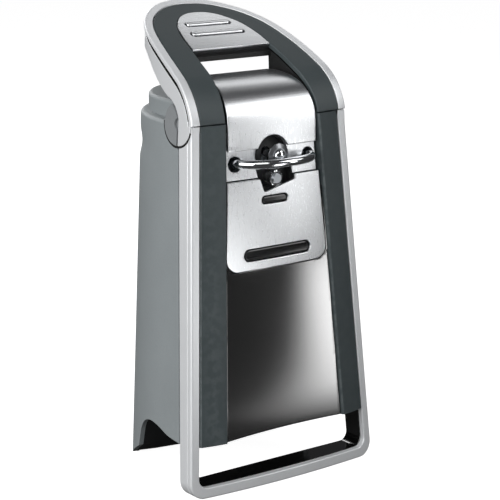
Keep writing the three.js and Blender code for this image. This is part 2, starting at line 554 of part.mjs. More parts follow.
function buildChassis() {
  const outline = [[-30, 64], [-24, 58], [24, 58], [30, 64], [30, 182], [-30, 182]];
  const plate = prismY(outline, CHASSIS_FRONT, CHASSIS_REAR);
  const holes = CHASSIS_SCREWS.map((at) => rodY(at, 1.9, 0, 40, 14));
  const slot = verticalSlot(CUTTER_AXIS, 3, -2.4, 0.4, 0, 40);
  addPart('chassis_plate', cut(plate, slot, rodY(DRIVE_AXIS, 4.9, 0, 40, 24), ...holes), ZINC_STEEL);
  CHASSIS_SCREWS.forEach((at, i) => {
    const screw = join(rodY(at, 1.6, lean(at[1]) + 6, 25, 14), rodY(at, 3.1, CHASSIS_REAR + 0.3, CHASSIS_REAR + 2.1, 14));
    addPart(`chassis_screw_${i + 1}`, screw, ZINC_STEEL);
  });
  const bushing = join(rodY(DRIVE_AXIS, 4.6, 21.6, 25, 24), rodY(DRIVE_AXIS, 6, CHASSIS_REAR + 0.3, 27, 24));
  addPart('drive_bushing', cut(bushing, rodY(DRIVE_AXIS, 2.8, 0, 40, 20)), NYLON);
}

function buildCutter() {
  const edge = [[2.6, 12.6], [2.6, 10.4], [5.2, 10.1], [6.4, 9.2], [6.4, 9], [3.6, 8.1]];
  addPart('cutter_wheel', cut(turnedY(CUTTER_AXIS, edge, 26), rodY(CUTTER_AXIS, 2.5, 0, 20, 20)), CHROME);
  const bolt = join(rodY(CUTTER_AXIS, 2.2, 7.2, 27.6, 20), rodY(CUTTER_AXIS, 3.3, 6.5, 7.8, 20));
  addPart('cutter_axle_bolt', bolt, CHROME);
  const [x, z] = CUTTER_AXIS;
  const plate = box(x - 6.5, x + 6.5, CHASSIS_REAR + 0.5, 26.6, 164, 186.4);
  const shelf = box(x - 6.5, x + 6.5, 25.2, 39, 184.4, 186.4);
  addPart('cutter_carriage', cut(join(plate, shelf), rodY([x, z], 2.5, 0, 40, 20)), ZINC_STEEL);
}

function buildLeverWorks() {
  const seat = join(box(24.6, 33.8, CHASSIS_REAR + 0.3, 41, 170.2, 171.8), box(24.6, 33.8, CHASSIS_REAR + 0.3, 25.9, 164, 172));
  addPart('spring_seat', seat, ZINC_STEEL);
  const turns = 5;
  const helix = Array.from({ length: turns * 8 + 1 }, (_, i) => {
    const angle = (i * Math.PI) / 4;
    return new THREE.Vector3(29.6 + 3 * Math.cos(angle), 36.4 + 3 * Math.sin(angle), 172.7 + (14 * i) / (turns * 8));
  });
  const wire = new THREE.Shape().absarc(0, 0, 0.55, 0, 2 * Math.PI);
  const path = new THREE.CatmullRomCurve3(helix);
  const spring = new THREE.ExtrudeGeometry(wire, { steps: turns * 9, curveSegments: 3, extrudePath: path });
  addPart('lever_return_spring', fromGeometry(spring), ZINC_STEEL);
  const pocket = box(-30.5, -26.7, 34.5, 38.3, 173.5, 190);
  addPart('switch_body', cut(box(-33.8, -23.4, CHASSIS_REAR + 0.3, 42, 166, 181.5), pocket), DARK_PLASTIC);
  addPart('switch_plunger', box(-30.1, -27.1, 34.9, 37.9, 176, 187.2), NYLON);
}

// ---------------------------------------------------------------- gear train and motor
const pitchRadius = (teeth) => (teeth * MODULE) / 2;

// Gear about a y axis through [x, z]; phase is the angle of one tooth's middle in x-z.
function gear(teeth, centre, y0, y1, phase) {
  const pitch = (2 * Math.PI) / teeth;
  const radius = pitchRadius(teeth);
  const [root, tip] = [radius - 1.2 * MODULE, radius + 0.85 * MODULE];
  const outline = [];
  for (let i = 0; i < teeth; i += 1) {
    const at = phase + i * pitch;
    [[root, -0.33], [tip, -0.1], [tip, 0.1], [root, 0.33]].forEach(([r, f]) => {
      const angle = at + f * pitch;
      outline.push([centre[0] + r * Math.cos(angle), centre[1] + r * Math.sin(angle)]);
    });
  }
  return prismY(outline, y0, y1);
}

const along = ([x, z], angle, distance) => [x + distance * Math.cos(angle), z + distance * Math.sin(angle)];
// Phase of a gear that meshes at this angle with another gear whose phase is known.
const meshPhase = (angle, phase, teeth, otherTeeth) =>
  angle + Math.PI + Math.PI / teeth - ((phase - angle) * otherTeeth) / teeth;
const ANGLES = [-Math.PI / 3, (220 * Math.PI) / 180, (-75 * Math.PI) / 180];
const IDLER_2 = along(DRIVE_AXIS, ANGLES[0], GEAR_CENTRES);
const IDLER_1 = along(IDLER_2, ANGLES[1], GEAR_CENTRES);
const MOTOR_AXIS = along(IDLER_1, ANGLES[2], GEAR_CENTRES);

function buildGearTrain() {
  const smallPhase = (i) => meshPhase(ANGLES[i], 0, SMALL_TEETH, LARGE_TEETH);
  const output = gear(LARGE_TEETH, DRIVE_AXIS, 30, 34.4, 0);
  const hub = rodY(DRIVE_AXIS, 6, 28, 35.4, 24);
  addPart('output_gear', cut(join(output, hub), rodY(DRIVE_AXIS, 2.8, 0, 60, 20)), NYLON);
  [[IDLER_2, 29.4, 36.6, 41.2, 0, 42.6], [IDLER_1, 36.2, 43, 47.4, 1, 48.8]].forEach(([at, y0, y1, y2, i, end], n) => {
    const both = join(gear(SMALL_TEETH, at, y0, y1 + 0.5, smallPhase(i)), gear(LARGE_TEETH, at, y1, y2, 0));
    addPart(`idler_gear_${2 - n}`, cut(both, rodY(at, 2.3, 0, 60, 20)), NYLON);
    const post = join(rodY(at, 2, CHASSIS_REAR + 0.3, end, 16), rodY(at, 3.6, CHASSIS_REAR + 0.3, y0 - 0.4, 16));
    addPart(`idler_post_${2 - n}`, join(post, rodY(at, 3.2, y2 + 0.4, end, 16)), ZINC_STEEL);
  });
  const pinion = gear(SMALL_TEETH, MOTOR_AXIS, 42.6, 48.4, smallPhase(2));
  addPart('motor_shaft_pinion', join(pinion, rodY(MOTOR_AXIS, 2, 48, 93, 16)), ZINC_STEEL);
  addPart('drive_shaft', rodY(DRIVE_AXIS, 2.5, 10.8, 36.4, 20), ZINC_STEEL);
  const wheelPitch = (2 * Math.PI) / 24;
  const serrated = Array.from({ length: 48 }, (_, i) =>
    along(DRIVE_AXIS, (i * wheelPitch) / 2, i % 2 ? 3.7 : 4.2));
  addPart('drive_wheel', cut(prismY(serrated, 11.8, 15.2), rodY(DRIVE_AXIS, 2.75, 0, 20, 20)), CHROME);
}

function buildMotor() {
  const [x, z] = MOTOR_AXIS;
  const bolts = [-21, 21].map((dx) => [x + dx, z + 20]);
  const boltHoles = bolts.map((at) => rodY(at, 1.9, 40, 90, 14));
  const core = box(x - 26, x + 26, 55, 77, z - 28, z + 26);
  const limbWindow = box(x - 14.4, x + 14.4, 50, 80, z - 19.6, z - 14.8);
  addPart('stator_core', cut(core, rodY(MOTOR_AXIS, 13.2, 40, 90, 40), limbWindow, ...boltHoles), LAMINATION);
  const coil = box(x - 13.8, x + 13.8, 52.4, 79.6, z - 31.2, z - 15.2);
  addPart('field_coil', cut(coil, box(x - 20, x + 20, 54.6, 77.4, z - 28.4, z - 19.2)), COPPER);
  const slots = Array.from({ length: 24 }, (_, i) => along(MOTOR_AXIS, (i * Math.PI) / 12, i % 2 ? 12.2 : 11.9));
  addPart('motor_rotor', cut(prismY(slots, 56, 76), rodY(MOTOR_AXIS, 2.3, 40, 90, 16)), LAMINATION);

  const strap = (y0, y1) => join(
    box(x - 25, x + 25, y0, y1, z + 15, z + 25), box(x - 7, x + 7, y0, y1, z - 6, z + 16), rodY(MOTOR_AXIS, 8, y0, y1, 28));
  const feet = PILLARS.map((at) => rodY(at, 3.2, CHASSIS_REAR + 0.3, 51.4, 16));
  const apron = prismY([[-28, 58], [28, 58], [30.5, 101], [26, 108], [20, 104], [-22, 68]], 49.4, 51.4);
  const front = cut(join(strap(49.4, 51.4), apron, ...feet), ...boltHoles, rodY(MOTOR_AXIS, 2.3, 40, 90, 16));
  addPart('motor_bracket_front', front, ZINC_STEEL);
  const rear = cut(join(strap(80.4, 82.4), rodY(MOTOR_AXIS, 5, 78, 84.6, 24)), ...boltHoles, rodY(MOTOR_AXIS, 2.3, 40, 90, 16));
  addPart('motor_bracket_rear', rear, ZINC_STEEL);
  bolts.forEach((at, i) => {
    const bolt = join(rodY(at, 1.6, 49.6, 84, 14), rodY(at, 3, 82.7, 84.6, 14));
    addPart(`motor_bolt_${['left', 'right'][i]}`, bolt, ZINC_STEEL);
  });
  const blades = Array.from({ length: 6 }, (_, i) => {
    const [a, b] = [(i * Math.PI) / 3, (i * Math.PI) / 3 + 0.32];
    const outline = [along(MOTOR_AXIS, a - 0.2, 4.6), along(MOTOR_AXIS, a, 17), along(MOTOR_AXIS, b - 0.22, 17), along(MOTOR_AXIS, a + 0.2, 4.6)];
    return prismY(outline, 86.2, 90.6);
  });
  const fan = join(rodY(MOTOR_AXIS, 5.4, 86, 91.4, 24), ...blades);
  addPart('cooling_fan', cut(fan, rodY(MOTOR_AXIS, 2.3, 40, 100, 16)), NYLON);
}

buildFrame();
buildFrontShell();
buildFrontPlates();
buildGlossPanel();
buildGuideBar();
buildCutterWell();
buildRearHousing();
buildBaseCover();
buildLever();
buildChassis();
buildCutter();
buildLeverWorks();
buildGearTrain();
buildMotor();

export default group;
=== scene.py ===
import bisect
import math

import bmesh
import bpy
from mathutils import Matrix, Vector


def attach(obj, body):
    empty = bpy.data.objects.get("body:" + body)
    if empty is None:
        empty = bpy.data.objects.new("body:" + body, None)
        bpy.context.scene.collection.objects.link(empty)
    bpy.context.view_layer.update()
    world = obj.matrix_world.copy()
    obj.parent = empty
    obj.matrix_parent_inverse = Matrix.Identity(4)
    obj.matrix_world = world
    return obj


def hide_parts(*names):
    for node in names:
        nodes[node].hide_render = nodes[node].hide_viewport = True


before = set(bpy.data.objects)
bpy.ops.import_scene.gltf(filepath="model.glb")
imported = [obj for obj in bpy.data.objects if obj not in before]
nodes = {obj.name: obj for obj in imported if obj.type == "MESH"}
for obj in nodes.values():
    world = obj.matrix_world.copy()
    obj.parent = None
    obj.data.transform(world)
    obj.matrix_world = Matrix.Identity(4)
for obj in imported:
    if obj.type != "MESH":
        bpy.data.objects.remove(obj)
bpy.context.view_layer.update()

scene = bpy.context.scene


# ---- Studio: camera, pale floor and soft lights
# A pale table with six softboxes round it; the opener stands on it, three quarters on.
# To the metal the floor is dark, but for one white card, so that it keeps its dark bands.
AIM = Vector((0, -0.01928, 0.120))
CAMERA_DISTANCE = 0.9254642
CAMERA_AZIMUTH = math.radians(-37.0674)
CAMERA_ELEVATION = math.radians(13.2207)


def direction(azimuth, elevation):
    """Unit vector from the object toward an azimuth and elevation in radians."""
    flat = math.cos(elevation)
    return Vector((math.sin(azimuth) * flat, -math.cos(azimuth) * flat, math.sin(elevation)))


def set_camera():
    lens = bpy.data.cameras.new("studio_camera")
    lens.sensor_width = 36
    lens.lens = 129.42
    lens.shift_x = -0.00757
    lens.shift_y = -0.01518
    lens.clip_start = 0.05
    lens.dof.use_dof = False
    camera = bpy.data.objects.new("studio_camera", lens)
    back = direction(CAMERA_AZIMUTH, CAMERA_ELEVATION)
    camera.location = AIM + back * CAMERA_DISTANCE
    camera.rotation_mode = "QUATERNION"
    camera.rotation_quaternion = (-back).to_track_quat("-Z", "Y")
    scene.collection.objects.link(camera)
    scene.camera = camera


def soft_light(name, azimuth, elevation, distance, size, power, aim=AIM):
    """A rectangular softbox that faces the point it is aimed at; angles in degrees."""
    lamp = bpy.data.lights.new(name, "AREA")
    lamp.shape = "RECTANGLE"
    lamp.size, lamp.size_y = size
    lamp.energy = power
    light = bpy.data.objects.new(name, lamp)
    away = direction(math.radians(azimuth), math.radians(elevation))
    light.location = aim + away * distance
    light.rotation_mode = "QUATERNION"
    light.rotation_quaternion = (-away).to_track_quat("-Z", "Y")
    light.visible_camera = False
    scene.collection.objects.link(light)


def feed(tree, socket, value):
    """Sets a socket from a plain value or links it to another node's output."""
    if isinstance(value, bpy.types.NodeSocket):
        tree.links.new(value, socket)
    else:
        socket.default_value = value


def wire(tree, kind, settings=None, **sockets):
    """New node with its settings, and its sockets set or linked by name."""
    node = tree.nodes.new(kind)
    for key, value in (settings or {}).items():
        setattr(node, key, value)
    for label, value in sockets.items():
        wanted = label.replace("_", " ")
        feed(tree, next(s for s in node.inputs if s.name == wanted and s.enabled), value)
    return node


def math_of(tree, operation, a, b=0.0, clamp=False):
    node = tree.nodes.new("ShaderNodeMath")
    node.operation = operation
    node.use_clamp = clamp
    for socket, value in zip(node.inputs, (a, b)):
        feed(tree, socket, value)
    return node.outputs[0]


def blend_of(tree, factor, a, b):
    """Colour a turning into colour b with the factor."""
    node = wire(tree, "ShaderNodeMix", {"data_type": "RGBA"}, Factor=factor, A=a, B=b)
    return next(s for s in node.outputs if s.enabled)


CARD_BEARING, CARD_HALF, CARD_EDGE = math.radians(21.5), math.radians(11), math.radians(3.5)
CARD_FAR_END, CARD_NEAR_END = (1.3, 0.9), (0.18, 0.28)     # metres: where it stops, where it is whole


def card_cover(tree):
    """How much of a white card, lying on the floor in front to the right, is seen in gloss."""
    place = tree.nodes.new("ShaderNodeTexCoord").outputs["Object"]
    axes = wire(tree, "ShaderNodeSeparateXYZ", Vector=place)
    ahead = math_of(tree, "MULTIPLY", axes.outputs["Y"], -1.0)
    bearing = math_of(tree, "ARCTAN2", axes.outputs["X"], ahead)
    off_centre = math_of(tree, "ABSOLUTE", math_of(tree, "SUBTRACT", bearing, CARD_BEARING))
    edge = wire(tree, "ShaderNodeMapRange", {"interpolation_type": "SMOOTHSTEP"},
                Value=off_centre, From_Min=CARD_HALF, From_Max=CARD_EDGE)
    cover = edge.outputs[0]
    reach = wire(tree, "ShaderNodeVectorMath", {"operation": "LENGTH"}, Vector=place).outputs["Value"]
    for nothing, whole in (CARD_FAR_END, CARD_NEAR_END):
        end = wire(tree, "ShaderNodeMapRange", Value=reach, From_Min=nothing, From_Max=whole)
        cover = math_of(tree, "MULTIPLY", cover, end.outputs[0])
    path = tree.nodes.new("ShaderNodeLightPath")
    return math_of(tree, "MULTIPLY", cover, path.outputs["Is Glossy Ray"])


def light_mix(tree, seen_by_lens, seen_by_rest):
    """A colour that differs between what the lens sees and what lights the object."""
    path = tree.nodes.new("ShaderNodeLightPath")
    return blend_of(tree, path.outputs["Is Camera Ray"], (*seen_by_rest, 1), (*seen_by_lens, 1))


def lay_floor():
    reach, drop = 12, -0.0002
    mesh = bpy.data.meshes.new("studio_floor")
    corners = [(x, y, drop) for x, y in ((-reach, -reach), (reach, -reach), (reach, reach), (-reach, reach))]
    mesh.from_pydata(corners, [], [(0, 1, 2, 3)])
    floor = bpy.data.objects.new("studio_floor", mesh)
    scene.collection.objects.link(floor)
    paint = bpy.data.materials.new("floor_paint")
    paint.use_nodes = True
    tree = paint.node_tree
    shader = tree.nodes["Principled BSDF"]
    tree.links.new(light_mix(tree, (0.6, 0.6, 0.6), (0.05, 0.05, 0.05)), shader.inputs["Base Color"])
    shader.inputs["Roughness"].default_value = 0.9
    shader.inputs["Specular IOR Level"].default_value = 0
    glow = light_mix(tree, (0.95, 0.95, 0.95), (0.012, 0.012, 0.012))
    lit = blend_of(tree, card_cover(tree), glow, (4.2, 4.2, 4.2, 1))
    tree.links.new(lit, shader.inputs["Emission Color"])
    shader.inputs["Emission Strength"].default_value = 1
    mesh.materials.append(paint)


def set_studio():
    world = bpy.data.worlds.new("studio")
    world.use_nodes = True
    scene.world = world
    tree = world.node_tree
    backdrop = next(n for n in tree.nodes if n.type == "BACKGROUND")
    tree.links.new(light_mix(tree, (1, 1, 1), (0.05, 0.05, 0.053)), backdrop.inputs["Color"])
    lay_floor()
    # each: azimuth, elevation, distance in metres, size in metres, power in watts
    soft_light("left_softbox", -74, 16, 1.1, (1.4, 1.3), 18.8)
    soft_light("top_softbox", 124, 43, 1.1, (0.5, 0.24), 0.5)
    soft_light("high_softbox", 49, 36, 0.9, (0.36, 0.32), 0.95)
    soft_light("rear_softbox", 172, 22, 1.3, (0.9, 0.7), 6)
    soft_light("front_softbox", -15, 42, 0.9, (0.5, 0.4), 1.7)
    soft_light("right_softbox", 39, 0, 0.7, (0.08, 0.52), 0.55, Vector((0, 0, 0.33)))


set_camera()
set_studio()
scene.view_settings.view_transform = "Standard"


# ---- Satin silver bezel ring
# Zinc die casting with a satin plated face: the U-shaped front edge of the carry loop,
# bowed back toward its sides, clipped to the band behind it by hidden tabs.
MM = 0.001
DEPTH_CENTRE = 49.28       # the opener's own middle, front to back
LEAN = 0.0756              # the front leans back this much per millimetre of height
PIVOT_Y, PIVOT_Z = 27.8, 186.7
SEAM_TOP = 186.3
EAR_POCKET = 11.45


def at(x, y, z):
    """Millimetres from the front of the foot to metres in the shared frame."""
    return Vector((x * MM, (y - DEPTH_CENTRE) * MM, z * MM))


def lean(z):
    return LEAN * z


def half_width(z):
    return 59.3 - 0.0592 * z


def bow(x):
    return 3.4 * (x / 59.3) ** 2


def pocket_edge(z):
    """Front edge of the round pocket in which a lever ear turns."""
    rise = min(abs(z - PIVOT_Z), EAR_POCKET)
    return PIVOT_Y - math.sqrt(EAR_POCKET**2 - rise**2)


def both_sides(half):
    """A half outline that ends on the middle line, with its mirror image after it."""
    return half + [(-x, y) for x, y in reversed(half[:-1])]


def footed_edge(heights, inset, floor, corner):
    """Down one side by the heights, round the corner, along the foot and up the other side."""
    half = [(half_width(z) - inset, z) for z in heights]
    low = floor + corner
    side = half_width(low) - inset
    for i in range(15):
        angle = math.pi / 2 * i / 14
        half.append((side - corner * (1 - math.cos(angle)), low - corner * math.sin(angle)))
    end = half[-1][0]
    half += [(end * (1 - i / 16), floor) for i in range(1, 17)]
    return both_sides(half)


def frame_edge(inset, top, floor, corner):
    """One edge of the U-shaped frame in x-z, from the top of the right side to the left."""
    heights = [top - 0.9 * i for i in range(16)]
    drop = heights[-1] - (floor + corner)
    heights += [heights[15] - drop * i / 24 for i in range(1, 24)]
    return footed_edge(heights, inset, floor, corner)


def rounded(loop, radii, steps=4):
    """A closed loop of points with each corner rounded by its own radius."""
    out = []
    for i, corner in enumerate(loop):
        corner = Vector(corner)
        before = Vector(loop[i - 1]) - corner
        after = Vector(loop[(i + 1) % len(loop)]) - corner
        reach = min(radii[i], before.length * 0.45, after.length * 0.45)
        start = corner + before.normalized() * reach
        end = corner + after.normalized() * reach
        for k in range(steps + 1):
            f = k / steps
            out.append(start.lerp(corner, f).lerp(corner.lerp(end, f), f))
    return out


def swept(sections, ends=True):
    """Skins equal loops into a closed shape, in millimetres; without ends the last meets the first."""
    shape = bmesh.new()
    rings = [[shape.verts.new(p) for p in loop] for loop in sections]
    count = len(rings[0])
    for a, b in zip(rings, rings[1:] if ends else rings[1:] + rings[:1]):
        for i in range(count):
            j = (i + 1) % count
            shape.faces.new((a[i], a[j], b[j], b[i]))
    if ends:
        shape.faces.new(rings[0])
        shape.faces.new(reversed(rings[-1]))
    return shape


def add_piece(name, shape, finish, body, cad_nodes, crease=38, place=at):
    """Turns a millimetre bmesh into a finished piece that stands for CAD nodes."""
    for vert in shape.verts:
        vert.co = place(*vert.co)
    bmesh.ops.remove_doubles(shape, verts=shape.verts, dist=2e-6)
    bmesh.ops.recalc_face_normals(shape, faces=shape.faces)
    mesh = bpy.data.meshes.new(name)
    shape.to_mesh(mesh)
    shape.free()
    mesh.shade_smooth()
    mesh.set_sharp_from_angle(angle=math.radians(crease))
    mesh.materials.append(finish)
    piece = bpy.data.objects.new(name, mesh)
    scene.collection.objects.link(piece)
    flat = piece.modifiers.new("flat_faces_stay_flat", "WEIGHTED_NORMAL")
    flat.keep_sharp = True
    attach(piece, body)
    if cad_nodes:
        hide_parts(*cad_nodes)
    return piece


def tone(red, green, blue):
    """A colour chip's 0-255 values as the shader's linear colour."""
    linear = [c / 255 / 12.92 if c < 11 else ((c / 255 + 0.055) / 1.055) ** 2.4
              for c in (red, green, blue)]
    return (*linear, 1)


def new_group(name, inputs, outputs):
    """Empty shader node group; inputs and outputs are (name, socket type, default)."""
    group = bpy.data.node_groups.new(name, "ShaderNodeTree")
    for label, kind, value in inputs:
        socket = group.interface.new_socket(label, in_out="INPUT", socket_type=kind)
        if value is not None:
            socket.default_value = value
    for label, kind in outputs:
        group.interface.new_socket(label, in_out="OUTPUT", socket_type=kind)
    return group, group.nodes.new("NodeGroupInput"), group.nodes.new("NodeGroupOutput")


COLOUR, NUMBER, VECTOR = "NodeSocketColor", "NodeSocketFloat", "NodeSocketVector"


def varied(group, colour, swing, shift):
    """The colour made lighter and darker by a swing about nought."""
    shade = math_of(group, "ADD", math_of(group, "MULTIPLY", swing, shift), 1.0)
    tinted = group.nodes.new("ShaderNodeVectorMath")
    tinted.operation = "SCALE"
    group.links.new(colour, tinted.inputs[0])
    group.links.new(shade, tinted.inputs["Scale"])
    return tinted.outputs[0]


def build_grain_group():
    """Fine all-over grain: colour varied a little, a roughness and a height."""
    group, given, out = new_group(
        "fine_grain",
        [("Colour", COLOUR, None), ("Scale", NUMBER, 2500.0), ("Colour Shift", NUMBER, 0.08),
         ("Roughness", NUMBER, 0.4), ("Roughness Shift", NUMBER, 0.08)],
        [("Colour", COLOUR), ("Roughness", NUMBER), ("Height", NUMBER)],
    )
    place = group.nodes.new("ShaderNodeTexCoord").outputs["Object"]
    fine = wire(group, "ShaderNodeTexNoise", Vector=place, Scale=given.outputs["Scale"],
                Detail=3.0, Roughness=0.6)
    broad = wire(group, "ShaderNodeTexNoise", Vector=place, Scale=38.0, Detail=4.0, Roughness=0.55)
    both = math_of(group, "ADD", math_of(group, "MULTIPLY", fine.outputs[0], 0.55),
                   math_of(group, "MULTIPLY", broad.outputs[0], 0.45))
    swing = math_of(group, "SUBTRACT", both, 0.5)
    tinted = varied(group, given.outputs["Colour"], swing, given.outputs["Colour Shift"])
    group.links.new(tinted, out.inputs["Colour"])
    rough = math_of(group, "MULTIPLY", swing, given.outputs["Roughness Shift"])
    rough = math_of(group, "ADD", rough, given.outputs["Roughness"], clamp=True)
    group.links.new(rough, out.inputs["Roughness"])
    group.links.new(fine.outputs[0], out.inputs["Height"])
    return group


def build_wear_group():
    """Mask of the rubbed outer edges, broken up by noise."""
    group, given, out = new_group(
        "edge_wear",
        [("Amount", NUMBER, 0.3), ("Breakup Scale", NUMBER, 260.0)],
        [("Mask", NUMBER)],
    )
    edge = group.nodes.new("ShaderNodeNewGeometry").outputs["Pointiness"]
    ramp = wire(group, "ShaderNodeMapRange", {"clamp": True}, Value=edge, From_Min=0.52, From_Max=0.62)
    place = group.nodes.new("ShaderNodeTexCoord").outputs["Object"]
    chips = wire(group, "ShaderNodeTexNoise", Vector=place, Scale=given.outputs["Breakup Scale"],
                 Detail=5.0)
    broken = wire(group, "ShaderNodeMapRange", {"clamp": True}, Value=chips.outputs[0],
                  From_Min=0.42, From_Max=0.6)
    worn = math_of(group, "MULTIPLY", ramp.outputs[0], broken.outputs[0])
    group.links.new(math_of(group, "MULTIPLY", worn, given.outputs["Amount"]), out.inputs["Mask"])
    return group


fine_grain = build_grain_group()
edge_wear = build_wear_group()


def place_group(tree, group, **values):
    node = tree.nodes.new("ShaderNodeGroup")
    node.node_tree = group
    for label, value in values.items():
        feed(tree, node.inputs[label.replace("_", " ")], value)
    return node


def new_finish(name, **settings):
    """Material with its shader's constant sockets set; gives material, tree and shader."""
    finish = bpy.data.materials.new(name)
    finish.use_nodes = True
    shader = finish.node_tree.nodes["Principled BSDF"]
    for label, value in settings.items():
        shader.inputs[label.replace("_", " ")].default_value = value
    return finish, finish.node_tree, shader


def add_bump(tree, shader, height, strength, distance):
    bump = wire(tree, "ShaderNodeBump", Strength=strength, Distance=distance, Height=height)
    tree.links.new(bump.outputs[0], shader.inputs["Normal"])


def make_finish(name, chip, grain, wear=None, bump=None, **settings):
    """Colour chip with grain (scale, shift, roughness, its shift), wear (amount, chip) and bump."""
    finish, tree, shader = new_finish(name, **settings)
    scale, shift, roughness, roughness_shift = grain
    fine = place_group(tree, fine_grain, Colour=tone(*chip), Scale=scale, Colour_Shift=shift,
                       Roughness=roughness, Roughness_Shift=roughness_shift)
    colour = fine.outputs["Colour"]
    if wear:
        worn = place_group(tree, edge_wear, Amount=wear[0])
        colour = blend_of(tree, worn.outputs["Mask"], colour, tone(*wear[1]))
    tree.links.new(colour, shader.inputs["Base Color"])
    tree.links.new(fine.outputs["Roughness"], shader.inputs["Roughness"])
    if bump:
        add_bump(tree, shader, fine.outputs["Height"], *bump)
    return finish


satin_silver = make_finish("satin_silver", (232, 234, 236), (1900.0, 0.16, 0.36, 0.12),
                           (0.35, (240, 241, 242)), bump=(0.12, 0.00008), Metallic=0.3)


def frame_sections(outer, inner, front, rear, radii):
    """Rounded sections between two edges of the frame, each front to rear."""
    sections = []
    for (x, z), (u, v) in zip(outer, inner):
        corners = [(x, front(x, z), z), (u, front(u, v), v), (u, rear(u, v), v), (x, rear(x, z), z)]
        sections.append(rounded(corners, radii))
    return sections


def frame_face(x, z):
    return lean(z) + bow(x)


def build_bezel_ring():
    outer = frame_edge(0, SEAM_TOP, 0, 8)
    inner = frame_edge(4.75, SEAM_TOP, 5.4, 5)

    def rear(x, z):
        return min(frame_face(x, z) + 3, max(pocket_edge(z), frame_face(x, z) + 0.25))

    shape = swept(frame_sections(outer, inner, frame_face, rear, [1.1, 0.6, 0.25, 0.25]))
    return add_piece("bezel_ring", shape, satin_silver, "body", ["front_bezel_ring"])


build_bezel_ring()


# ---- Silver side band
# Moulded plastic band in the same satin plating, wrapped round the sides and the foot
# of the loop behind the bezel; its rear edge meets the grey housing in one flat plane.
def build_side_band():
    top = 179.6
    outer = frame_edge(0, top, 0, 8)
    inner = frame_edge(3.1, top, 3.6, 6)

    def front(x, z):
        return frame_face(x, z) + 3.3

    def rear(x, z):
        return max(min(lean(z) + 13.35, pocket_edge(z)), front(x, z) + 0.3)

    shape = swept(frame_sections(outer, inner, front, rear, [0.5, 0.2, 0.3, 0.8]))
    return add_piece("side_band", shape, satin_silver, "body", ["frame_side_band"])


build_side_band()


# ---- Gloss black loop liner
# Polished black moulding that lines the inside of the carry loop below the body,
# sprung in between the two sides of the band.
gloss_black = make_finish("gloss_black", (9, 9, 9), (320.0, 0.3, 0.13, 0.05), (0.12, (70, 72, 73)), IOR=3.0)


def frame_edge_short(inset, top, floor, corner):
    """The low part of the frame's edge, for the liner, which has no long sides."""
    heights = [top - (top - (floor + corner)) * i / 8 for i in range(8)]
    return footed_edge(heights, inset, floor, corner)


def build_liner():
    edges = [frame_edge_short(3.5, 26.4, 4, 5.8), frame_edge_short(4.75, 26.4, 5.4, 5)]
    shape = swept(frame_sections(*edges, lambda x, z: frame_face(x, z) + 3.3,
                                 lambda x, z: lean(z) + 17.8, [0.3, 0.3, 0.3, 0.3]))
    return add_piece("loop_lining", shape, gloss_black, "body", ["loop_liner"])


build_liner()


# ---- Soft-touch front shell
# One charcoal moulding with a rubbery sprayed coat: the two long rails, the crown under
# the steel cover and the posts for the pivot pins. The edges are eased by the mould.
soft_touch = make_finish("soft_touch", (62, 70, 72), (2300.0, 0.5, 0.5, 0.14),
                         (0.3, (112, 119, 121)), bump=(0.25, 0.00012))


def keep_node(name, finish, edge=0.25, crease=35, segments=2):
    """Keeps a CAD node in view: its own solid with eased edges and a real finish."""
    node = nodes[name]
    for holder in node.material_slots:
        holder.material = finish
    weld = node.modifiers.new("weld", "WELD")
    weld.merge_threshold = 1e-6
    merge = node.modifiers.new("flat_faces", "DECIMATE")
    merge.decimate_type = "DISSOLVE"
    merge.angle_limit = math.radians(0.6)
    if edge:
        ease = node.modifiers.new("eased_edges", "BEVEL")
        ease.width = edge * MM
        ease.segments = segments
        ease.limit_method = "ANGLE"
        ease.angle_limit = math.radians(crease)
    smooth = node.modifiers.new("flat_faces_stay_flat", "WEIGHTED_NORMAL")
    smooth.keep_sharp = True
    node.data.shade_smooth()
    return node


keep_node("front_shell", soft_touch, 0.5, crease=24, segments=3)


# ---- Gloss front panel
# Deep black polished acrylic-look panel between the rails, slightly dished from side to
# side, its top edge tucked round the lower steel plate. Heat-staked to the front shell.
def rail_inner(z):
    return 38.88 - 0.0539 * z


def pressed_sheet(outlines, front, rear, edge, strips=()):
    """Flat sheet cut to outlines in (u, v), from a front to a rear depth, edges rounded."""
    line = bpy.data.curves.new("cutting_line", "CURVE")
    line.dimensions = "2D"
    line.fill_mode = "BOTH"
    line.extrude = (rear - front) / 2 - edge
    line.bevel_depth = edge
    line.bevel_resolution = 2
    line.offset = -edge
    for outline in outlines:
        run = line.splines.new("POLY")
        run.points.add(len(outline) - 1)
        for point, (u, v) in zip(run.points, outline):
            point.co = (u, v, 0, 1)
        run.use_cyclic_u = True
    blank = bpy.data.objects.new("cutting_line", line)
    scene.collection.objects.link(blank)
    made = bpy.data.meshes.new_from_object(blank.evaluated_get(bpy.context.evaluated_depsgraph_get()))
    sheet = bmesh.new()
    sheet.from_mesh(made)
    bpy.data.objects.remove(blank)
    bpy.data.meshes.remove(made)
    bpy.data.curves.remove(line)
    bmesh.ops.remove_doubles(sheet, verts=sheet.verts, dist=0.002)
    for axis, step in strips:
        values = [v.co[axis] for v in sheet.verts]
        low, high = min(values), max(values)
        for i in range(1, int((high - low) / step) + 1):
            normal = Vector((0, 0, 0))
            normal[axis] = 1
            everything = sheet.verts[:] + sheet.edges[:] + sheet.faces[:]
            bmesh.ops.bisect_plane(sheet, geom=everything, dist=1e-5,
                                   plane_co=normal * (low + i * step), plane_no=normal)
    for vert in sheet.verts:
        vert.co.z += (front + rear) / 2
    return sheet


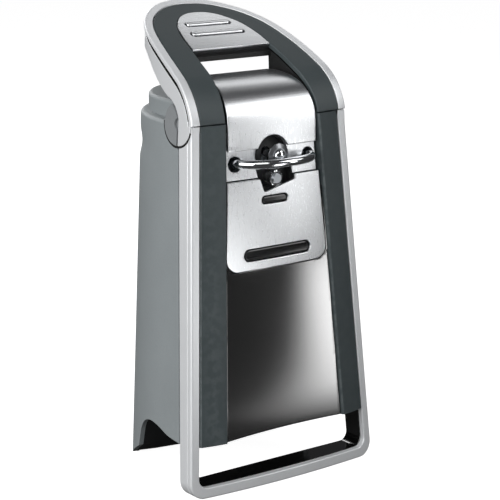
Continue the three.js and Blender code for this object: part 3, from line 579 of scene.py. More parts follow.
def lower_plate_line(margin):
    """The lower steel plate's outline in x-z, grown by a margin, from top right round to top left."""
    radius = 7 + margin
    side, bottom = 31.9 + margin, 111.8 - margin
    half = [(28.9 + margin, 157.1 + margin), (29.5 + margin, 148.6), (30.1 + margin, 140)]
    for i in range(13):
        angle = -math.pi / 2 * i / 12
        half.append((side - radius + radius * math.cos(angle), bottom + radius + radius * math.sin(angle)))
    return half + [(-x, z) for x, z in reversed(half)]


def build_gloss_panel():
    low, high = 26.8, 149
    seat = [(x, z) for x, z in lower_plate_line(0.45) if z < high - 0.5]
    rows = [low + (high - low) * i / 30 for i in range(31)]
    right = [(rail_inner(z) - 0.35, z) for z in rows]
    left = [(-x, z) for x, z in reversed(right)]
    columns = [(-right[0][0] + 2 * right[0][0] * i / 24, low) for i in range(1, 24)]
    outline = [*columns, *right, *seat, *left]

    def dished(u, v, depth):
        side = rail_inner(v) - 0.35
        dish = 1 + 2.2 * (1 - (u / side) ** 2)
        return at(u, lean(v) + dish + depth, v)

    sheet = pressed_sheet([outline], 0, 1.9, 0.35, [(0, 1.6)])
    return add_piece("gloss_panel", sheet, gloss_black, "body",
                     ["gloss_front_panel"], place=dished)


build_gloss_panel()


# ---- Brushed steel cover plates
# Three plates pressed from stainless sheet, 1.25 to 1.6 mm thick, and brushed upward: the
# lower with its two slots, the band that holds the guide bar, and the upper over the crown.
SLOTS = {"small": ((-9, 7.8), (144, 148.4)), "long": ((-21.2, 21), (116.2, 122.6))}
CUTTER_X, CUTTER_Z = -0.4, 168.4
WINDOW_RADIUS = 10.1       # round part of the window, about the cutter
CROWN_LOW = 172.3          # lower edge of the upper plate


def build_brush_group():
    """Long fine scratches along one direction: colour, roughness and height."""
    group, given, out = new_group(
        "brushed_lines",
        [("Colour", COLOUR, None), ("Stretch", VECTOR, None), ("Contrast", NUMBER, 0.15),
         ("Roughness", NUMBER, 0.3)],
        [("Colour", COLOUR), ("Roughness", NUMBER), ("Height", NUMBER)],
    )
    place = group.nodes.new("ShaderNodeTexCoord").outputs["Object"]
    stretched = group.nodes.new("ShaderNodeVectorMath")
    stretched.operation = "MULTIPLY"
    group.links.new(place, stretched.inputs[0])
    group.links.new(given.outputs["Stretch"], stretched.inputs[1])
    lines = wire(group, "ShaderNodeTexNoise", Vector=stretched.outputs[0],
                 Scale=1.0, Detail=5.0, Roughness=0.7)
    swing = math_of(group, "SUBTRACT", lines.outputs[0], 0.5)
    tinted = varied(group, given.outputs["Colour"], swing, given.outputs["Contrast"])
    group.links.new(tinted, out.inputs["Colour"])
    rough_swing = math_of(group, "MULTIPLY", swing, 0.25)
    rough = math_of(group, "ADD", rough_swing, given.outputs["Roughness"], clamp=True)
    group.links.new(rough, out.inputs["Roughness"])
    group.links.new(lines.outputs[0], out.inputs["Height"])
    return group


brushed_lines = build_brush_group()


def make_brushed_steel(name, stretch):
    finish, tree, shader = new_finish(name, Metallic=1.0)
    lines = place_group(tree, brushed_lines, Colour=tone(224, 226, 228), Stretch=stretch,
                        Contrast=0.18, Roughness=0.3)
    worn = place_group(tree, edge_wear, Amount=0.5)
    colour = blend_of(tree, worn.outputs["Mask"], lines.outputs["Colour"], tone(250, 250, 250))
    tree.links.new(colour, shader.inputs["Base Color"])
    tree.links.new(lines.outputs["Roughness"], shader.inputs["Roughness"])
    add_bump(tree, shader, lines.outputs["Height"], 0.045, 0.00005)
    return finish


front_steel = make_brushed_steel("brushed_steel", (3200.0, 3200.0, 60.0))


def stadium(x_span, z_span, steps=10):
    radius = (z_span[1] - z_span[0]) / 2
    middle = (z_span[0] + z_span[1]) / 2
    loop = []
    for centre, start in ((x_span[1] - radius, -90), (x_span[0] + radius, 90)):
        for i in range(steps + 1):
            angle = math.radians(start + 180 * i / steps)
            loop.append((centre + radius * math.cos(angle), middle + radius * math.sin(angle)))
    return loop


def turns_of(count):
    """Evenly spaced angles once round."""
    return [2 * math.pi * i / count for i in range(count)]


def ring(x, z, radius, count=40):
    return [(x + radius * math.cos(t), z + radius * math.sin(t)) for t in turns_of(count)]


def plate_bow(u):
    """The plates bow back very slightly toward their sides."""
    return 0.9 * (u / 30) ** 2


def leaned(u, v, depth):
    return at(u, lean(v) + plate_bow(u) + depth, v)


# The slanted cutter window's sides, as (x, z) at the top and bottom of each.
WINDOW_LEFT = ((-11.1, 163), (-6.9, 150.2))
WINDOW_RIGHT = ((12.9, 154.9), (11.5, 163))


def on_line(a, b, z):
    f = (z - a[1]) / (b[1] - a[1])
    return (a[0] + (b[0] - a[0]) * f, z)


def soften_line(loop, radius, steps=4):
    flat = [(u, v, 0) for u, v in loop]
    return [(p.x, p.y) for p in rounded(flat, [radius] * len(loop), steps)]


def build_lower_plate():
    top = 157.1
    outline = lower_plate_line(0)
    notch = [on_line(*WINDOW_LEFT, top), (-6.9, 150.2), (12.9, 154.9), on_line(*WINDOW_RIGHT, top)]
    corner = soften_line([(-20, top), *notch, (20, top)], 1.1)[5:-5]     # less its two outer ends
    slots = [stadium(*span) for span in SLOTS.values()]
    sheet = pressed_sheet([outline + corner, *slots], 0.3, 1.9, 0.38, [(0, 3.0)])
    return add_piece("lower_steel_plate", sheet, front_steel, "body",
                     ["lower_cover_plate"], place=leaned)


def build_guide_band():
    """Runs on behind the upper plate, which hides its top half."""
    low, high = 157.45, 181.5
    notch_left = on_line(*WINDOW_LEFT, low)
    notch_right = on_line(*WINDOW_RIGHT, low)
    start, end = math.radians(180 + 28), math.radians(-28)
    turns = [start + (end - start) * i / 30 for i in range(31)]
    arc = [(CUTTER_X + WINDOW_RADIUS * math.cos(t), CUTTER_Z + WINDOW_RADIUS * math.sin(t)) for t in turns]
    left_join = (-11.1, arc[0][1])
    right_join = (11.5, arc[-1][1])
    outline = [(-28.6, low), notch_left, left_join, *arc, right_join, notch_right,
               (28.6, low), (27.6, high), (-27.6, high)]
    holes = [ring(x, 165.6, 4) for x in (-23.1, 23.1)]
    sheet = pressed_sheet([outline, *holes], 2, 3.6, 0.3, [(0, 3.0)])
    return add_piece("guide_bar_band", sheet, front_steel, "body",
                     ["guide_band_plate"], place=leaned)


def smooth_line(points, per_span=8):
    """A smooth curve through the points, with an even number of steps per span."""
    last = len(points) - 1
    out = []
    for i in range(last):
        p0, p1 = points[max(0, i - 1)], points[i]
        p2, p3 = points[i + 1], points[min(last, i + 2)]
        for k in range(per_span):
            t = k / per_span
            out.append(tuple(
                0.5 * (2 * b + (c - a) * t + (2 * a - 5 * b + 4 * c - d) * t * t
                       + (3 * b - a - 3 * c + d) * t**3)
                for a, b, c, d in zip(p0, p1, p2, p3)
            ))
    return [*out, tuple(points[-1])]


class Profile:
    """A curve in y-z with its length, to wrap flat sheets over."""

    def __init__(self, points):
        self.line = smooth_line(points)
        self.length = [0.0]
        for a, b in zip(self.line, self.line[1:]):
            self.length.append(self.length[-1] + math.dist(a, b))
        self.aim = []
        for i in range(len(self.line)):
            a, b = self.line[max(0, i - 1)], self.line[min(len(self.line) - 1, i + 1)]
            reach = math.dist(a, b)
            self.aim.append(((b[0] - a[0]) / reach, (b[1] - a[1]) / reach))

    def _between(self, keys, value, lists):
        i = min(max(bisect.bisect_right(keys, value) - 1, 0), len(keys) - 2)
        f = (value - keys[i]) / (keys[i + 1] - keys[i])
        return [tuple(a + (b - a) * f for a, b in zip(values[i], values[i + 1])) for values in lists]

    def over(self, s, depth):
        """The point at a length along the curve and a depth below it."""
        inside = min(max(s, 0), self.length[-1])
        (y, z), (ty, tz) = self._between(self.length, inside, (self.line, self.aim))
        y, z = y + ty * (s - inside), z + tz * (s - inside)
        return y + tz * depth, z - ty * depth

    def length_at(self, y):
        """Length along the curve where it passes a depth y."""
        keys = [p[0] for p in self.line]
        (value,), = self._between(keys, y, ([(v,) for v in self.length],))
        return value

    def height_at(self, y, depth=0.0):
        """Height of the curve, or of the line a depth below it, at y."""
        below = [(p[0] + t[1] * depth, p[1] - t[0] * depth) for p, t in zip(self.line, self.aim)]
        (_, z), = self._between([p[0] for p in below], y, (below,))
        return z


crown_profile = Profile([
    (13.1, CROWN_LOW), (13.7, 180), (14.3, 186.5), (15.7, 191.5), (18.3, 196.2), (22, 200.1), (27, 203.1),
    (33, 205), (40, 206.1), (47, 206.2), (53, 204.9), (57.3, 201.8), (59.2, 196.8),
])
CROWN_HALF = [(27.7, 13), (27.7, 14), (26.3, 20.4), (24.9, 30.7), (24.3, 40.1), (22.4, 48.1),
              (21.6, 56), (20.2, 59.2)]


def between(keys, value):
    """Which two of the rising keys a value lies between, and how far along."""
    i = min(max(bisect.bisect_right(keys, value) - 1, 0), len(keys) - 2)
    return i, (value - keys[i]) / (keys[i + 1] - keys[i])


def half_at(half, y):
    """Half width at y, from a list of (half width, y)."""
    i, f = between([v for _, v in half], y)
    return half[i][0] + (half[i + 1][0] - half[i][0]) * f


def build_upper_plate():
    total = crown_profile.length[-1]
    lengths = [total * i / 60 for i in range(61)]
    sides = [(half_at(CROWN_HALF, crown_profile.over(s, 0)[0]), s) for s in lengths]
    above = CROWN_LOW - CUTTER_Z
    reach = math.sqrt(WINDOW_RADIUS**2 - above**2)
    across = [reach * math.cos(math.pi * i / 24) for i in range(25)]
    notch = [(CUTTER_X - x, math.sqrt(WINDOW_RADIUS**2 - x * x) - above) for x in across]
    outline = [*notch, *sides, *[(-x, s) for x, s in reversed(sides)]]
    sheet = pressed_sheet([outline], 0, 1.25, 0.42, [(1, 1.5), (0, 3.0)])

    def over_crown(u, v, depth):
        y, z = crown_profile.over(v, depth)
        return at(u, y + plate_bow(u) * min(max((190 - z) / 15, 0), 1), z)

    return add_piece("upper_steel_cover", sheet, front_steel, "body",
                     ["upper_cover_plate"], place=over_crown)


build_lower_plate()
build_guide_band()
build_upper_plate()


# ---- Can rest pads
# Two glossy black nylon pads that stand a little proud of the slots in the lower plate,
# so that a can leans on them and doesn't scratch the steel. Pressed in from behind.
pad_black = make_finish("pad_black", (14, 14, 15), (420.0, 0.4, 0.16, 0.08), bump=(0.05, 0.00004))


def build_rest_pads():
    gap = 0.3
    for name, ((left, right), (low, high)) in SLOTS.items():
        outline = stadium((left + gap, right - gap), (low + gap, high - gap), 14)
        pad = pressed_sheet([outline], 0.7, 2.9, 0.95)
        add_piece(f"rest_pad_{name}", pad, pad_black, "body",
                  [f"can_rest_pad_{name}"], place=leaned)


build_rest_pads()


# ---- Chrome guide bar
# A 4.4 mm steel rod bent to a shallow bow and chrome plated; its two ends go through the
# round holes of the band and are nutted behind it. A can's rim hangs under it.
chrome = make_finish("chrome", (232, 234, 236), (900.0, 0.12, 0.1, 0.08),
                     bump=(0.05, 0.00003), Metallic=1.0)
GUIDE_BAR_HALF = [(22.9, 7.5, 166.1), (22.7, 2.5, 166.1), (21.6, -1.8, 166.2), (18.9, -5.6, 166.3),
                  (14.4, -8.6, 166.3), (7.9, -10.5, 166.3), (0, -11.1, 166.3)]


def tube_sections(path, radius, sides=20):
    """Round sections square to a path that has no twist worth minding."""
    sections = []
    for i, point in enumerate(path):
        ahead = Vector(path[min(len(path) - 1, i + 1)]) - Vector(path[max(0, i - 1)])
        side = ahead.cross(Vector((0, 0, 1))).normalized()
        up = side.cross(ahead).normalized()
        sections.append([Vector(point) + (side * math.cos(t) + up * math.sin(t)) * radius
                         for t in turns_of(sides)])
    return sections


def build_guide_bar():
    half = [(x, y + lean(165), z) for x, y, z in GUIDE_BAR_HALF]
    path = smooth_line([*half, *[(-x, y, z) for x, y, z in reversed(half[:-1])]], 8)
    add_piece("guide_bar", swept(tube_sections(path, 2.2)), chrome, "body",
              ["can_guide_bar"], crease=60)


build_guide_bar()


# ---- Cutter well
# Dark glass-filled nylon cup clipped behind the plates. It keeps food out of the gears and
# has a slot for the cutter's axle and a hole for the drive shaft.
dark_plastic = make_finish("dark_plastic", (30, 31, 32), (1500.0, 0.5, 0.48, 0.16),
                           (0.2, (66, 68, 70)), bump=(0.2, 0.0001))
keep_node("cutter_well", dark_plastic, 0.3)


# ---- Cutter wheel and its bolt
# Hardened steel disc ground to an edge, with flats round its cone, free on a chrome bolt
# with a slotted domed head. It sits over the drive wheel and pierces the lid.
def turned(x, z, profile, sides, facet=0.0):
    """Turned part about a y axis; profile is (radius, y) pairs, facet flattens every other spoke."""
    sections = []
    for radius, y in profile:
        loop = []
        for k in range(sides):
            angle = 2 * math.pi * k / sides
            r = radius - facet * (k % 2) * min(1, radius / 6)
            loop.append((x + r * math.cos(angle), y, z + r * math.sin(angle)))
        sections.append(loop)
    return swept(sections)


ground_steel = make_finish("ground_steel", (150, 152, 155), (600.0, 0.4, 0.3, 0.2),
                           bump=(0.15, 0.00006), Metallic=1.0)


def build_cutter():
    ground = [(0.6, 8.7), (3.4, 8.6), (3.7, 8.2), (4.2, 8.15), (6.35, 8.95), (6.4, 9.1), (6.35, 9.25),
              (5.3, 10.0), (4.9, 10.15), (2.8, 10.4), (2.6, 10.6), (2.6, 12.5), (0.6, 12.55)]
    disc = turned(CUTTER_X, CUTTER_Z, ground, 26, 0.22)
    add_piece("cutter_disc", disc, ground_steel, "cutter", ["cutter_wheel"], crease=14)
    head = [(0.5, 6.35), (1.6, 6.45), (2.5, 6.7), (3.1, 7.1), (3.3, 7.5), (3.25, 7.8), (2.3, 7.85),
            (2.2, 8.1), (2.2, 27.6)]
    bolt = turned(CUTTER_X, CUTTER_Z, head, 36)
    add_piece("cutter_bolt", bolt, chrome, "cutter_carriage", ["cutter_axle_bolt"], crease=40)


build_cutter()


# ---- Drive wheel and shaft
# Case-hardened wheel with 24 teeth that grips the can's rim and turns it, pressed on the
# square end of the steel drive shaft, which runs in a nylon bushing in the chassis.
zinc_steel = make_finish("zinc_steel", (176, 180, 184), (420.0, 0.35, 0.36, 0.3),
                         bump=(0.1, 0.00006), Metallic=0.95)


def build_drive_wheel():
    teeth = 24
    x, z = 0.5, 156.5
    sections = []
    for y, grow in ((11.8, -0.45), (12.1, 0), (14.9, 0), (15.2, -0.4)):
        loop = []
        for k in range(teeth * 4):
            tooth = (3.7, 3.7, 4.2, 4.2)[k % 4] + grow
            angle = 2 * math.pi * (k + 0.5) / (teeth * 4)
            loop.append((x + tooth * math.cos(angle), y, z + tooth * math.sin(angle)))
        sections.append(loop)
    add_piece("rim_drive_wheel", swept(sections), chrome, "drive_train_output",
              ["drive_wheel"], crease=25)


build_drive_wheel()
keep_node("drive_shaft", zinc_steel, 0.15)


# ---- Rear housing
# Grey ABS shell with a fine spark-eroded texture: flat sides that run into an elliptical
# back, a finger groove near the top, a raised tier and an arched foot. Screwed from below.
REAR_STRAIGHT, REAR_BULGE = 35, 66
HOUSING_FRONT = 13.65      # the shell starts this far behind the leaning front
LEDGE, TIER_TOP = 187, 196
CORD_Z = 46


textured_grey = make_finish("textured_grey", (137, 143, 145), (1300.0, 0.34, 0.56, 0.18),
                            (0.25, (150, 155, 157)), bump=(0.4, 0.00016))


def rear_loop(z, inset, front, steps=72):
    side = half_width(z) - inset
    groove = 1.5 * (1 + math.cos(math.pi * (z - 171) / 9)) if 162 < z < 180 else 0
    bulge = REAR_BULGE - inset - groove
    back = [(side * math.cos(math.pi * i / steps), REAR_STRAIGHT + bulge * math.sin(math.pi * i / steps), z)
            for i in range(steps + 1)]
    return [(side, front, z), *back, (-side, front, z)]


def foot_edge(x):
    return 76 + 6 * (x / 37.6) ** 2


def foot_hollow():
    """The space under the body: raised in front, sweeping down to the rear foot."""
    path = [(16, 27.2), (26, 28.4), (36, 31.6), (43, 32.2), (48.5, 30.4), (52.6, 26), (54.6, 20), (56, 14.4)]
    smooth_path = smooth_line(path, 4)
    sections = []
    for i in range(25):
        x = -64 + 128 * i / 24
        edge = foot_edge(x)
        tail = [((56 + edge) / 2, 5.6), (edge, 0), (edge + 2, -6), (-20, -6)]
        sections.append([(x, y, z) for y, z in [(-20, 27), *smooth_path, *tail]])
    return swept(sections)


def block(x0, x1, y0, y1, z0, z1):
    return swept([[(x, y0, z0), (x, y1, z0), (x, y1, z1), (x, y0, z1)] for x in (x0, x1)])


def hewn(shape, operations):
    """Joins and cuts closed shapes with exact solids; gives one bmesh in millimetres."""
    def solid(made):
        bmesh.ops.recalc_face_normals(made, faces=made.faces)
        bmesh.ops.triangulate(made, faces=made.faces)
        mesh = bpy.data.meshes.new("solid")
        made.to_mesh(mesh)
        made.free()
        thing = bpy.data.objects.new("solid", mesh)
        scene.collection.objects.link(thing)
        return thing

    base = solid(shape)
    tools = []
    for operation, tool in operations:
        tools.append(solid(tool))
        step = base.modifiers.new(operation, "BOOLEAN")
        step.operation = operation
        step.solver = "MANIFOLD"
        step.object = tools[-1]
    result = bmesh.new()
    evaluated = base.evaluated_get(bpy.context.evaluated_depsgraph_get())
    result.from_mesh(bpy.data.meshes.new_from_object(evaluated))
    for thing in (base, *tools):
        bpy.data.objects.remove(thing)
    return result


def rod(radius, y0, y1, x, z, sides=24):
    return swept([[(u, y, v) for u, v in ring(x, z, radius, sides)] for y in (y0, y1)])


def ear_pocket(side):
    return swept([[(side * x, y, z) for y, z in ring(PIVOT_Y, PIVOT_Z, EAR_POCKET, 96)]
                  for x in (40.5, 70)])


def tier_loop(z, inset):
    return [((41 - inset) * math.cos(t), 45 + (52 - inset) * math.sin(t), z) for t in turns_of(96)]


def eased_top(loop_at, top, angles):
    """Loops that round a top edge over, 2 mm high and deep."""
    return [loop_at(top - 2 + 2 * math.sin(a), 2 - 2 * math.cos(a)) for a in angles]


def build_rear_housing():
    heights = [0.6, 1.2, 30, 60, 90, 120, 150, 162]
    heights += [162 + 1.2 * i for i in range(1, 15)] + [180, 182, 185]
    outer = [rear_loop(z, 0, 10) for z in heights]
    outer += eased_top(lambda z, inset: rear_loop(z, inset, 10), LEDGE, (0.25, 0.52, 0.8, 1.1, 1.571))
    wall = 2.6
    inner = swept([rear_loop(z, wall, 10, 36)
                   for z in (-2, 60, 120, 163, 167, 171, 175, 180, LEDGE - wall)])
    tier = [tier_loop(LEDGE - 0.5, 0), tier_loop(LEDGE + 0.6, 0), tier_loop(TIER_TOP - 2, 0)]
    tier += eased_top(tier_loop, TIER_TOP, (0.3, 0.6, 0.9, 1.2, 1.571))
    tier_hollow = swept([tier_loop(z, wall) for z in (LEDGE - 6, TIER_TOP - wall)])
    front = swept([[(70, -20, z), (70, lean(z) + HOUSING_FRONT, z), (-70, lean(z) + HOUSING_FRONT, z),
                    (-70, -20, z)] for z in (-5, 200)])
    crown_room = block(-45.6, 45.6, -10, 41, 172, 230)
    lever_room = block(-70, 70, -10, 40.4, 186.4, 230)
    shape = hewn(swept(outer), [
        ("UNION", swept(tier)),
        *(("DIFFERENCE", room) for room in (
            inner, tier_hollow, front, crown_room, lever_room, ear_pocket(1), ear_pocket(-1),
            foot_hollow(), rod(5.3, 60, 110, 0, CORD_Z))),
    ])
    bmesh.ops.dissolve_degenerate(shape, dist=0.004, edges=shape.edges)
    return add_piece("rear_shell", shape, textured_grey, "body",
                     ["rear_housing"], crease=32)


build_rear_housing()


# ---- Pivot gap shade rings
# Black rings laid into the round pockets round each lever ear: painted shade for the gap
# between ear and pocket, which shows as a thin dark line.
# painted shade: near-black rough finish for the rings that stand for the shadow in the gap round each ear
pivot_gap_shade_black = make_finish("pivot_gap_shade_black", (12, 12, 12), (1500.0, 0.5, 0.7, 0.16))


def build_pivot_gap_shade_rings():
    steps = 48
    for name, side in (("left", -1), ("right", 1)):
        sections = []
        for i in range(steps + 1):
            turn = math.radians(196 + 167 * i / steps)
            y, z = math.cos(turn), math.sin(turn)
            face = half_width(PIVOT_Z + z * EAR_POCKET) + 0.12
            back, bore, rim = face - 1.6, 10.9, 11.95
            corners = [(bore, back), (rim, back), (rim, face), (bore, face)]
            sections.append([(side * x, PIVOT_Y + y * r, PIVOT_Z + z * r) for r, x in corners])
        # each ring is painted shade in the gap between ear and pocket, not a part of the opener
        add_piece(f"pivot_gap_shade_{name}", swept(sections), pivot_gap_shade_black, "body", [])


build_pivot_gap_shade_rings()


# ---- Base cover, feet and cord gland
# Black moulded tray that closes the arch under the body, held by two screws, with two
# rubber feet under the heel. The cord's rubber gland fills the hole low in the back.
rubber = make_finish("rubber", (31, 31, 31), (1100.0, 0.7, 0.8, 0.2), bump=(0.35, 0.00018))
keep_node("base_cover", dark_plastic, 0.0)
for side in ("left", "right"):
    keep_node(f"rear_foot_pad_{side}", rubber, 0.5)
    keep_node(f"base_screw_{side}", zinc_steel, 0.25)


def build_cord_gland():
    """The profile is (radius, y) and closes on itself, so the boot has a hole right through."""
    profile = [(2.6, 94.8), (7.0, 94.6), (7.4, 95.0), (7.4, 97.0), (7.0, 97.4), (5.2, 97.5), (5.2, 98.1),
               (4.5, 98.2), (4.5, 98.7), (5.1, 98.8), (5.1, 99.4), (4.4, 99.5), (4.4, 100), (4.9, 100.1),
               (4.7, 100.7), (3.0, 100.8), (2.6, 100.5)]
    sections = [[(u, y, v) for u, v in ring(0, CORD_Z, radius)] for radius, y in profile]
    boot = swept(sections, ends=False)
    add_piece("gland_boot", boot, rubber, "body", ["cord_gland"], crease=30)


build_cord_gland()


# ---- Lever rim and skirt
# The lever's silver moulding in two parts: a rim round the top, and the skirt that runs
# down each side into a round ear over the pivot; a black strip in the joint between is painted shade for the
# groove.
lever_profile = Profile([
    (13.2, 186.95), (14.2, 191), (16.8, 196.4), (21, 201.8), (26.6, 206.6), (33.2, 210.8), (40, 214.7),
    (48, 219),
    (57, 223.5), (68, 228.6), (79, 233.2), (88, 236.9), (96.6, 240.4),
])
LEVER_OUTER = smooth_line([
    (48.3, 6), (48.2, 16), (47, 28.8), (45.3, 42.5), (43.5, 52.3), (41.2, 61.8), (37.4, 71.6), (30.8, 81.4),
    (20.6, 89.8), (10.5, 94.1), (0, 95.4)], 10)
RIM_INNER = smooth_line([
    (43.6, 6), (43.5, 15.9), (42.4, 28.8), (40.7, 42.5), (38.9, 52.3), (36.9, 60.6), (33.5, 69.8), (27.3, 79),
    (17.4, 86.7), (8.6, 90), (0, 90.9)], 10)
INSERT_EDGE = smooth_line([
    (28.9, 6), (28.8, 12.9), (27.5, 20.4), (26.1, 30.7), (25.4, 40.1), (24.3, 48.1), (22.9, 58.3),
    (19.6, 68.2),
    (12.9, 76.6), (6.4, 80.2), (0, 81.2)], 10)
LEVER_START = 13.2


def bowed_back(x, y):
    return y + bow(x) * min(max((30 - y) / 14, 0), 1)


def flared(x, y, z):
    """The sides spread as they go down from the lever's top."""
    return x * (1 + 0.00125 * max(0, lever_profile.height_at(y) - z))


def over_lever(u, v, depth):
    """Wraps a flat sheet in (x, length along the lever) over the lever's top."""
    y, z = lever_profile.over(v, depth)
    return at(flared(u, y, z), bowed_back(u, y), z)


def grown(half, by):
    """A half outline moved outward; its last point stays on the middle line."""
    out = []
    for i, (x, y) in enumerate(half):
        a, b = half[max(0, i - 1)], half[min(len(half) - 1, i + 1)]
        reach = math.dist(a, b)
        out.append((x + by * (b[1] - a[1]) / reach, y - by * (b[0] - a[0]) / reach))
    out[-1] = (0, half[-1][1] + by)
    return out


def trimmed(half, start):
    """A half outline from a depth y onward."""
    after = [p for p in half if p[1] > start + 0.2]
    return [(half_at([*half], start), start), *after]


def unrolled(half):
    """From (x, y) to (x, length along the lever)."""
    return [(x, lever_profile.length_at(y)) for x, y in half]


def horseshoe(outer, inner, start=LEVER_START):
    """Closed outline between two U-shaped edges that are open to the front."""
    return both_sides(unrolled(trimmed(outer, start))) + both_sides(unrolled(trimmed(inner, start)))[::-1]


def build_rim():
    sheet = pressed_sheet([horseshoe(LEVER_OUTER, RIM_INNER)], 0, 2.5, 0.6, [(1, 1.5)])
    return add_piece("rim_casting", sheet, satin_silver, "lever",
                     ["lever_rim"], place=over_lever)


# The skirt's lower edge in y-z, from above the pivot to the rear.
SKIRT_EDGE = [(28.1, 189.6), (31.2, 194.6), (36, 197.9), (40, 199.2), (49.5, 204.4), (56.4, 209.3),
              (62.5, 214), (73, 219), (99, 222)]
EAR_RADIUS = 10.75
EAR_CENTRE_Z = 186.6
SKIRT_TOP = 4.2            # depth of its top edge below the lever's top
RIM_FRONT = 19.3           # the side's top edge follows the rim from here back


def skirt_low(y):
    return half_at([(z, v) for v, z in smooth_line(SKIRT_EDGE, 6)], y)


def build_skirt():
    outer = grown(LEVER_OUTER, -0.3)
    front = PIVOT_Y - EAR_RADIUS
    path = trimmed(outer, front)[::-1]
    reach = [0.0]
    for a, b in zip(path, path[1:]):
        reach.append(reach[-1] + math.dist(a, b))
    forward = [-y for _, y in path]

    def along(y):
        """Length from the middle of the back to where the side passes y."""
        i, f = between(forward, -y)
        return reach[i] + (reach[i + 1] - reach[i]) * f

    def top_at(x, y, depth=SKIRT_TOP):
        unbowed = y - (bowed_back(x, y) - y)
        return lever_profile.height_at(max(unbowed, 17.05), depth)

    upper = [(0, top_at(*path[0]))]
    upper += [(along(y), top_at(x, y)) for x, y in path[1:] if y > RIM_FRONT]
    upper += [(along(RIM_FRONT - 0.15), EAR_CENTRE_Z), (along(front), EAR_CENTRE_Z)]
    lower = []
    for i in range(1, 25):
        angle = math.pi + math.pi / 2 * i / 24
        lower.append((along(PIVOT_Y + EAR_RADIUS * math.cos(angle)),
                      EAR_CENTRE_Z + EAR_RADIUS * math.sin(angle)))
    lower += [(along(PIVOT_Y + 0.1), 188.9), (along(28.6), 190.6)]
    lower += [(along(y), skirt_low(y)) for x, y in reversed(path) if y > 29 and x > 0.1]
    half = upper + lower
    outline = half + [(-u, v) for u, v in reversed(half[1:])]
    centre_low = (0, skirt_low(path[0][1]))
    outline.insert(len(half), centre_low)

    def wrapped(u, v, depth):
        i, f = between(reach, min(abs(u), reach[-1]))
        a, b = path[i], path[i + 1]
        x, y = a[0] + (b[0] - a[0]) * f, a[1] + (b[1] - a[1]) * f
        before, after = path[max(0, i - 1)], path[min(len(path) - 1, i + 2)]
        span = math.dist(before, after)
        tx, ty = (after[0] - before[0]) / span, (after[1] - before[1]) / span
        if i == 0:
            tx, ty = tx + (1 - tx) * (1 - f), ty * f
        x, y = x + ty * depth, y - tx * depth
        x = flared(x, y, v)
        return at(math.copysign(x, u) if u else x, y, v)

    sheet = pressed_sheet([outline], 0, 2.2, 0.3, [(0, 1.6)])
    add_piece("skirt_moulding", sheet, satin_silver, "lever",
              ["lever_skirt"], place=wrapped)
    # gloss black strip under the gap between rim and skirt: painted shade for the groove
    sides = [(0, *path[0]), *((along(y), x, y) for x, y in path[1:] if y > RIM_FRONT)]
    above, below = ([(u, top_at(x, y, depth)) for u, x, y in sides] for depth in (2.2, 4.4))
    strip = above + below[::-1] + [(-u, v) for u, v in below[1:]] + [(-u, v) for u, v in above[:0:-1]]
    sheet = pressed_sheet([strip], 0.12, 2.1, 0.08, [(0, 1.6)])
    add_piece("rim_joint_shade_strip", sheet, gloss_black, "lever", [], place=wrapped)


build_rim()
build_skirt()


# ---- Soft-touch lever shell
# Charcoal top of the lever, sprayed like the rails below: one arm each side of the finger
# window, joined behind the palm plate. Snapped into the silver rim.
def build_lever_shell():
    outer, inner = grown(RIM_INNER, -0.3), grown(INSERT_EDGE, 0.3)
    sheet = pressed_sheet([horseshoe(outer, inner)], 0.2, 3, 0.55, [(1, 1.5), (0, 3.0)])
    return add_piece("lever_soft_cover", sheet, soft_touch, "lever",
                     ["lever_top_shell"], place=over_lever)


build_lever_shell()


# ---- Palm plate and its grip bars
# Brushed steel plate under the palm, ending at the finger window; two raised bars in
# pressed wells keep the hand from slipping. Glued to the inner moulding.
WINDOW_REAR = 48.6
GRIP_BARS = {"front": (60.8, 16.4), "rear": (69.4, 13.8)}
palm_steel = make_brushed_steel("brushed_steel_across", (60.0, 2600.0, 2600.0))


def build_palm_plate():
    edge = both_sides(unrolled(trimmed(INSERT_EDGE, WINDOW_REAR)))
    wells = []
    for y, half in GRIP_BARS.values():
        s = lever_profile.length_at(y)
        wells.append(stadium((-half - 0.5, half + 0.5), (s - 2.3, s + 2.3)))
    sheet = pressed_sheet([edge, *wells], 0, 1.2, 0.25, [(1, 2.0)])
    add_piece("palm_plate", sheet, palm_steel, "lever",
              ["palm_insert"], place=over_lever)
    for name, (y, half) in GRIP_BARS.items():
        s = lever_profile.length_at(y)
        bar = pressed_sheet([stadium((-half + 0.3, half - 0.3), (s - 1.45, s + 1.45), 8)], -0.9, 1.9, 0.9)
        add_piece(f"grip_bar_{name}", bar, palm_steel, "lever",
                  [f"palm_grip_bar_{name}"], place=over_lever)


def build_window_lining():
    """Black lip that closes the back of the finger window, and the dark bed under the plate."""
    s = lever_profile.length_at(WINDOW_REAR)
    half = half_at(INSERT_EDGE, WINDOW_REAR) + 0.1
    lip = [(-half, s), (half, s), (half, s + 2), (-half, s + 2)]
    lining = pressed_sheet([lip], 1.2, 7.5, 0.25)
    add_piece("window_lining", lining, dark_plastic, "lever", [], place=over_lever)
    floor = both_sides(unrolled(trimmed(grown(INSERT_EDGE, -0.4), WINDOW_REAR + 2.2)))
    backing = pressed_sheet([floor], 1.95, 3.2, 0.2, [(1, 2.0)])
    add_piece("palm_plate_backing", backing, dark_plastic, "lever", [], place=over_lever)


build_palm_plate()
build_window_lining()


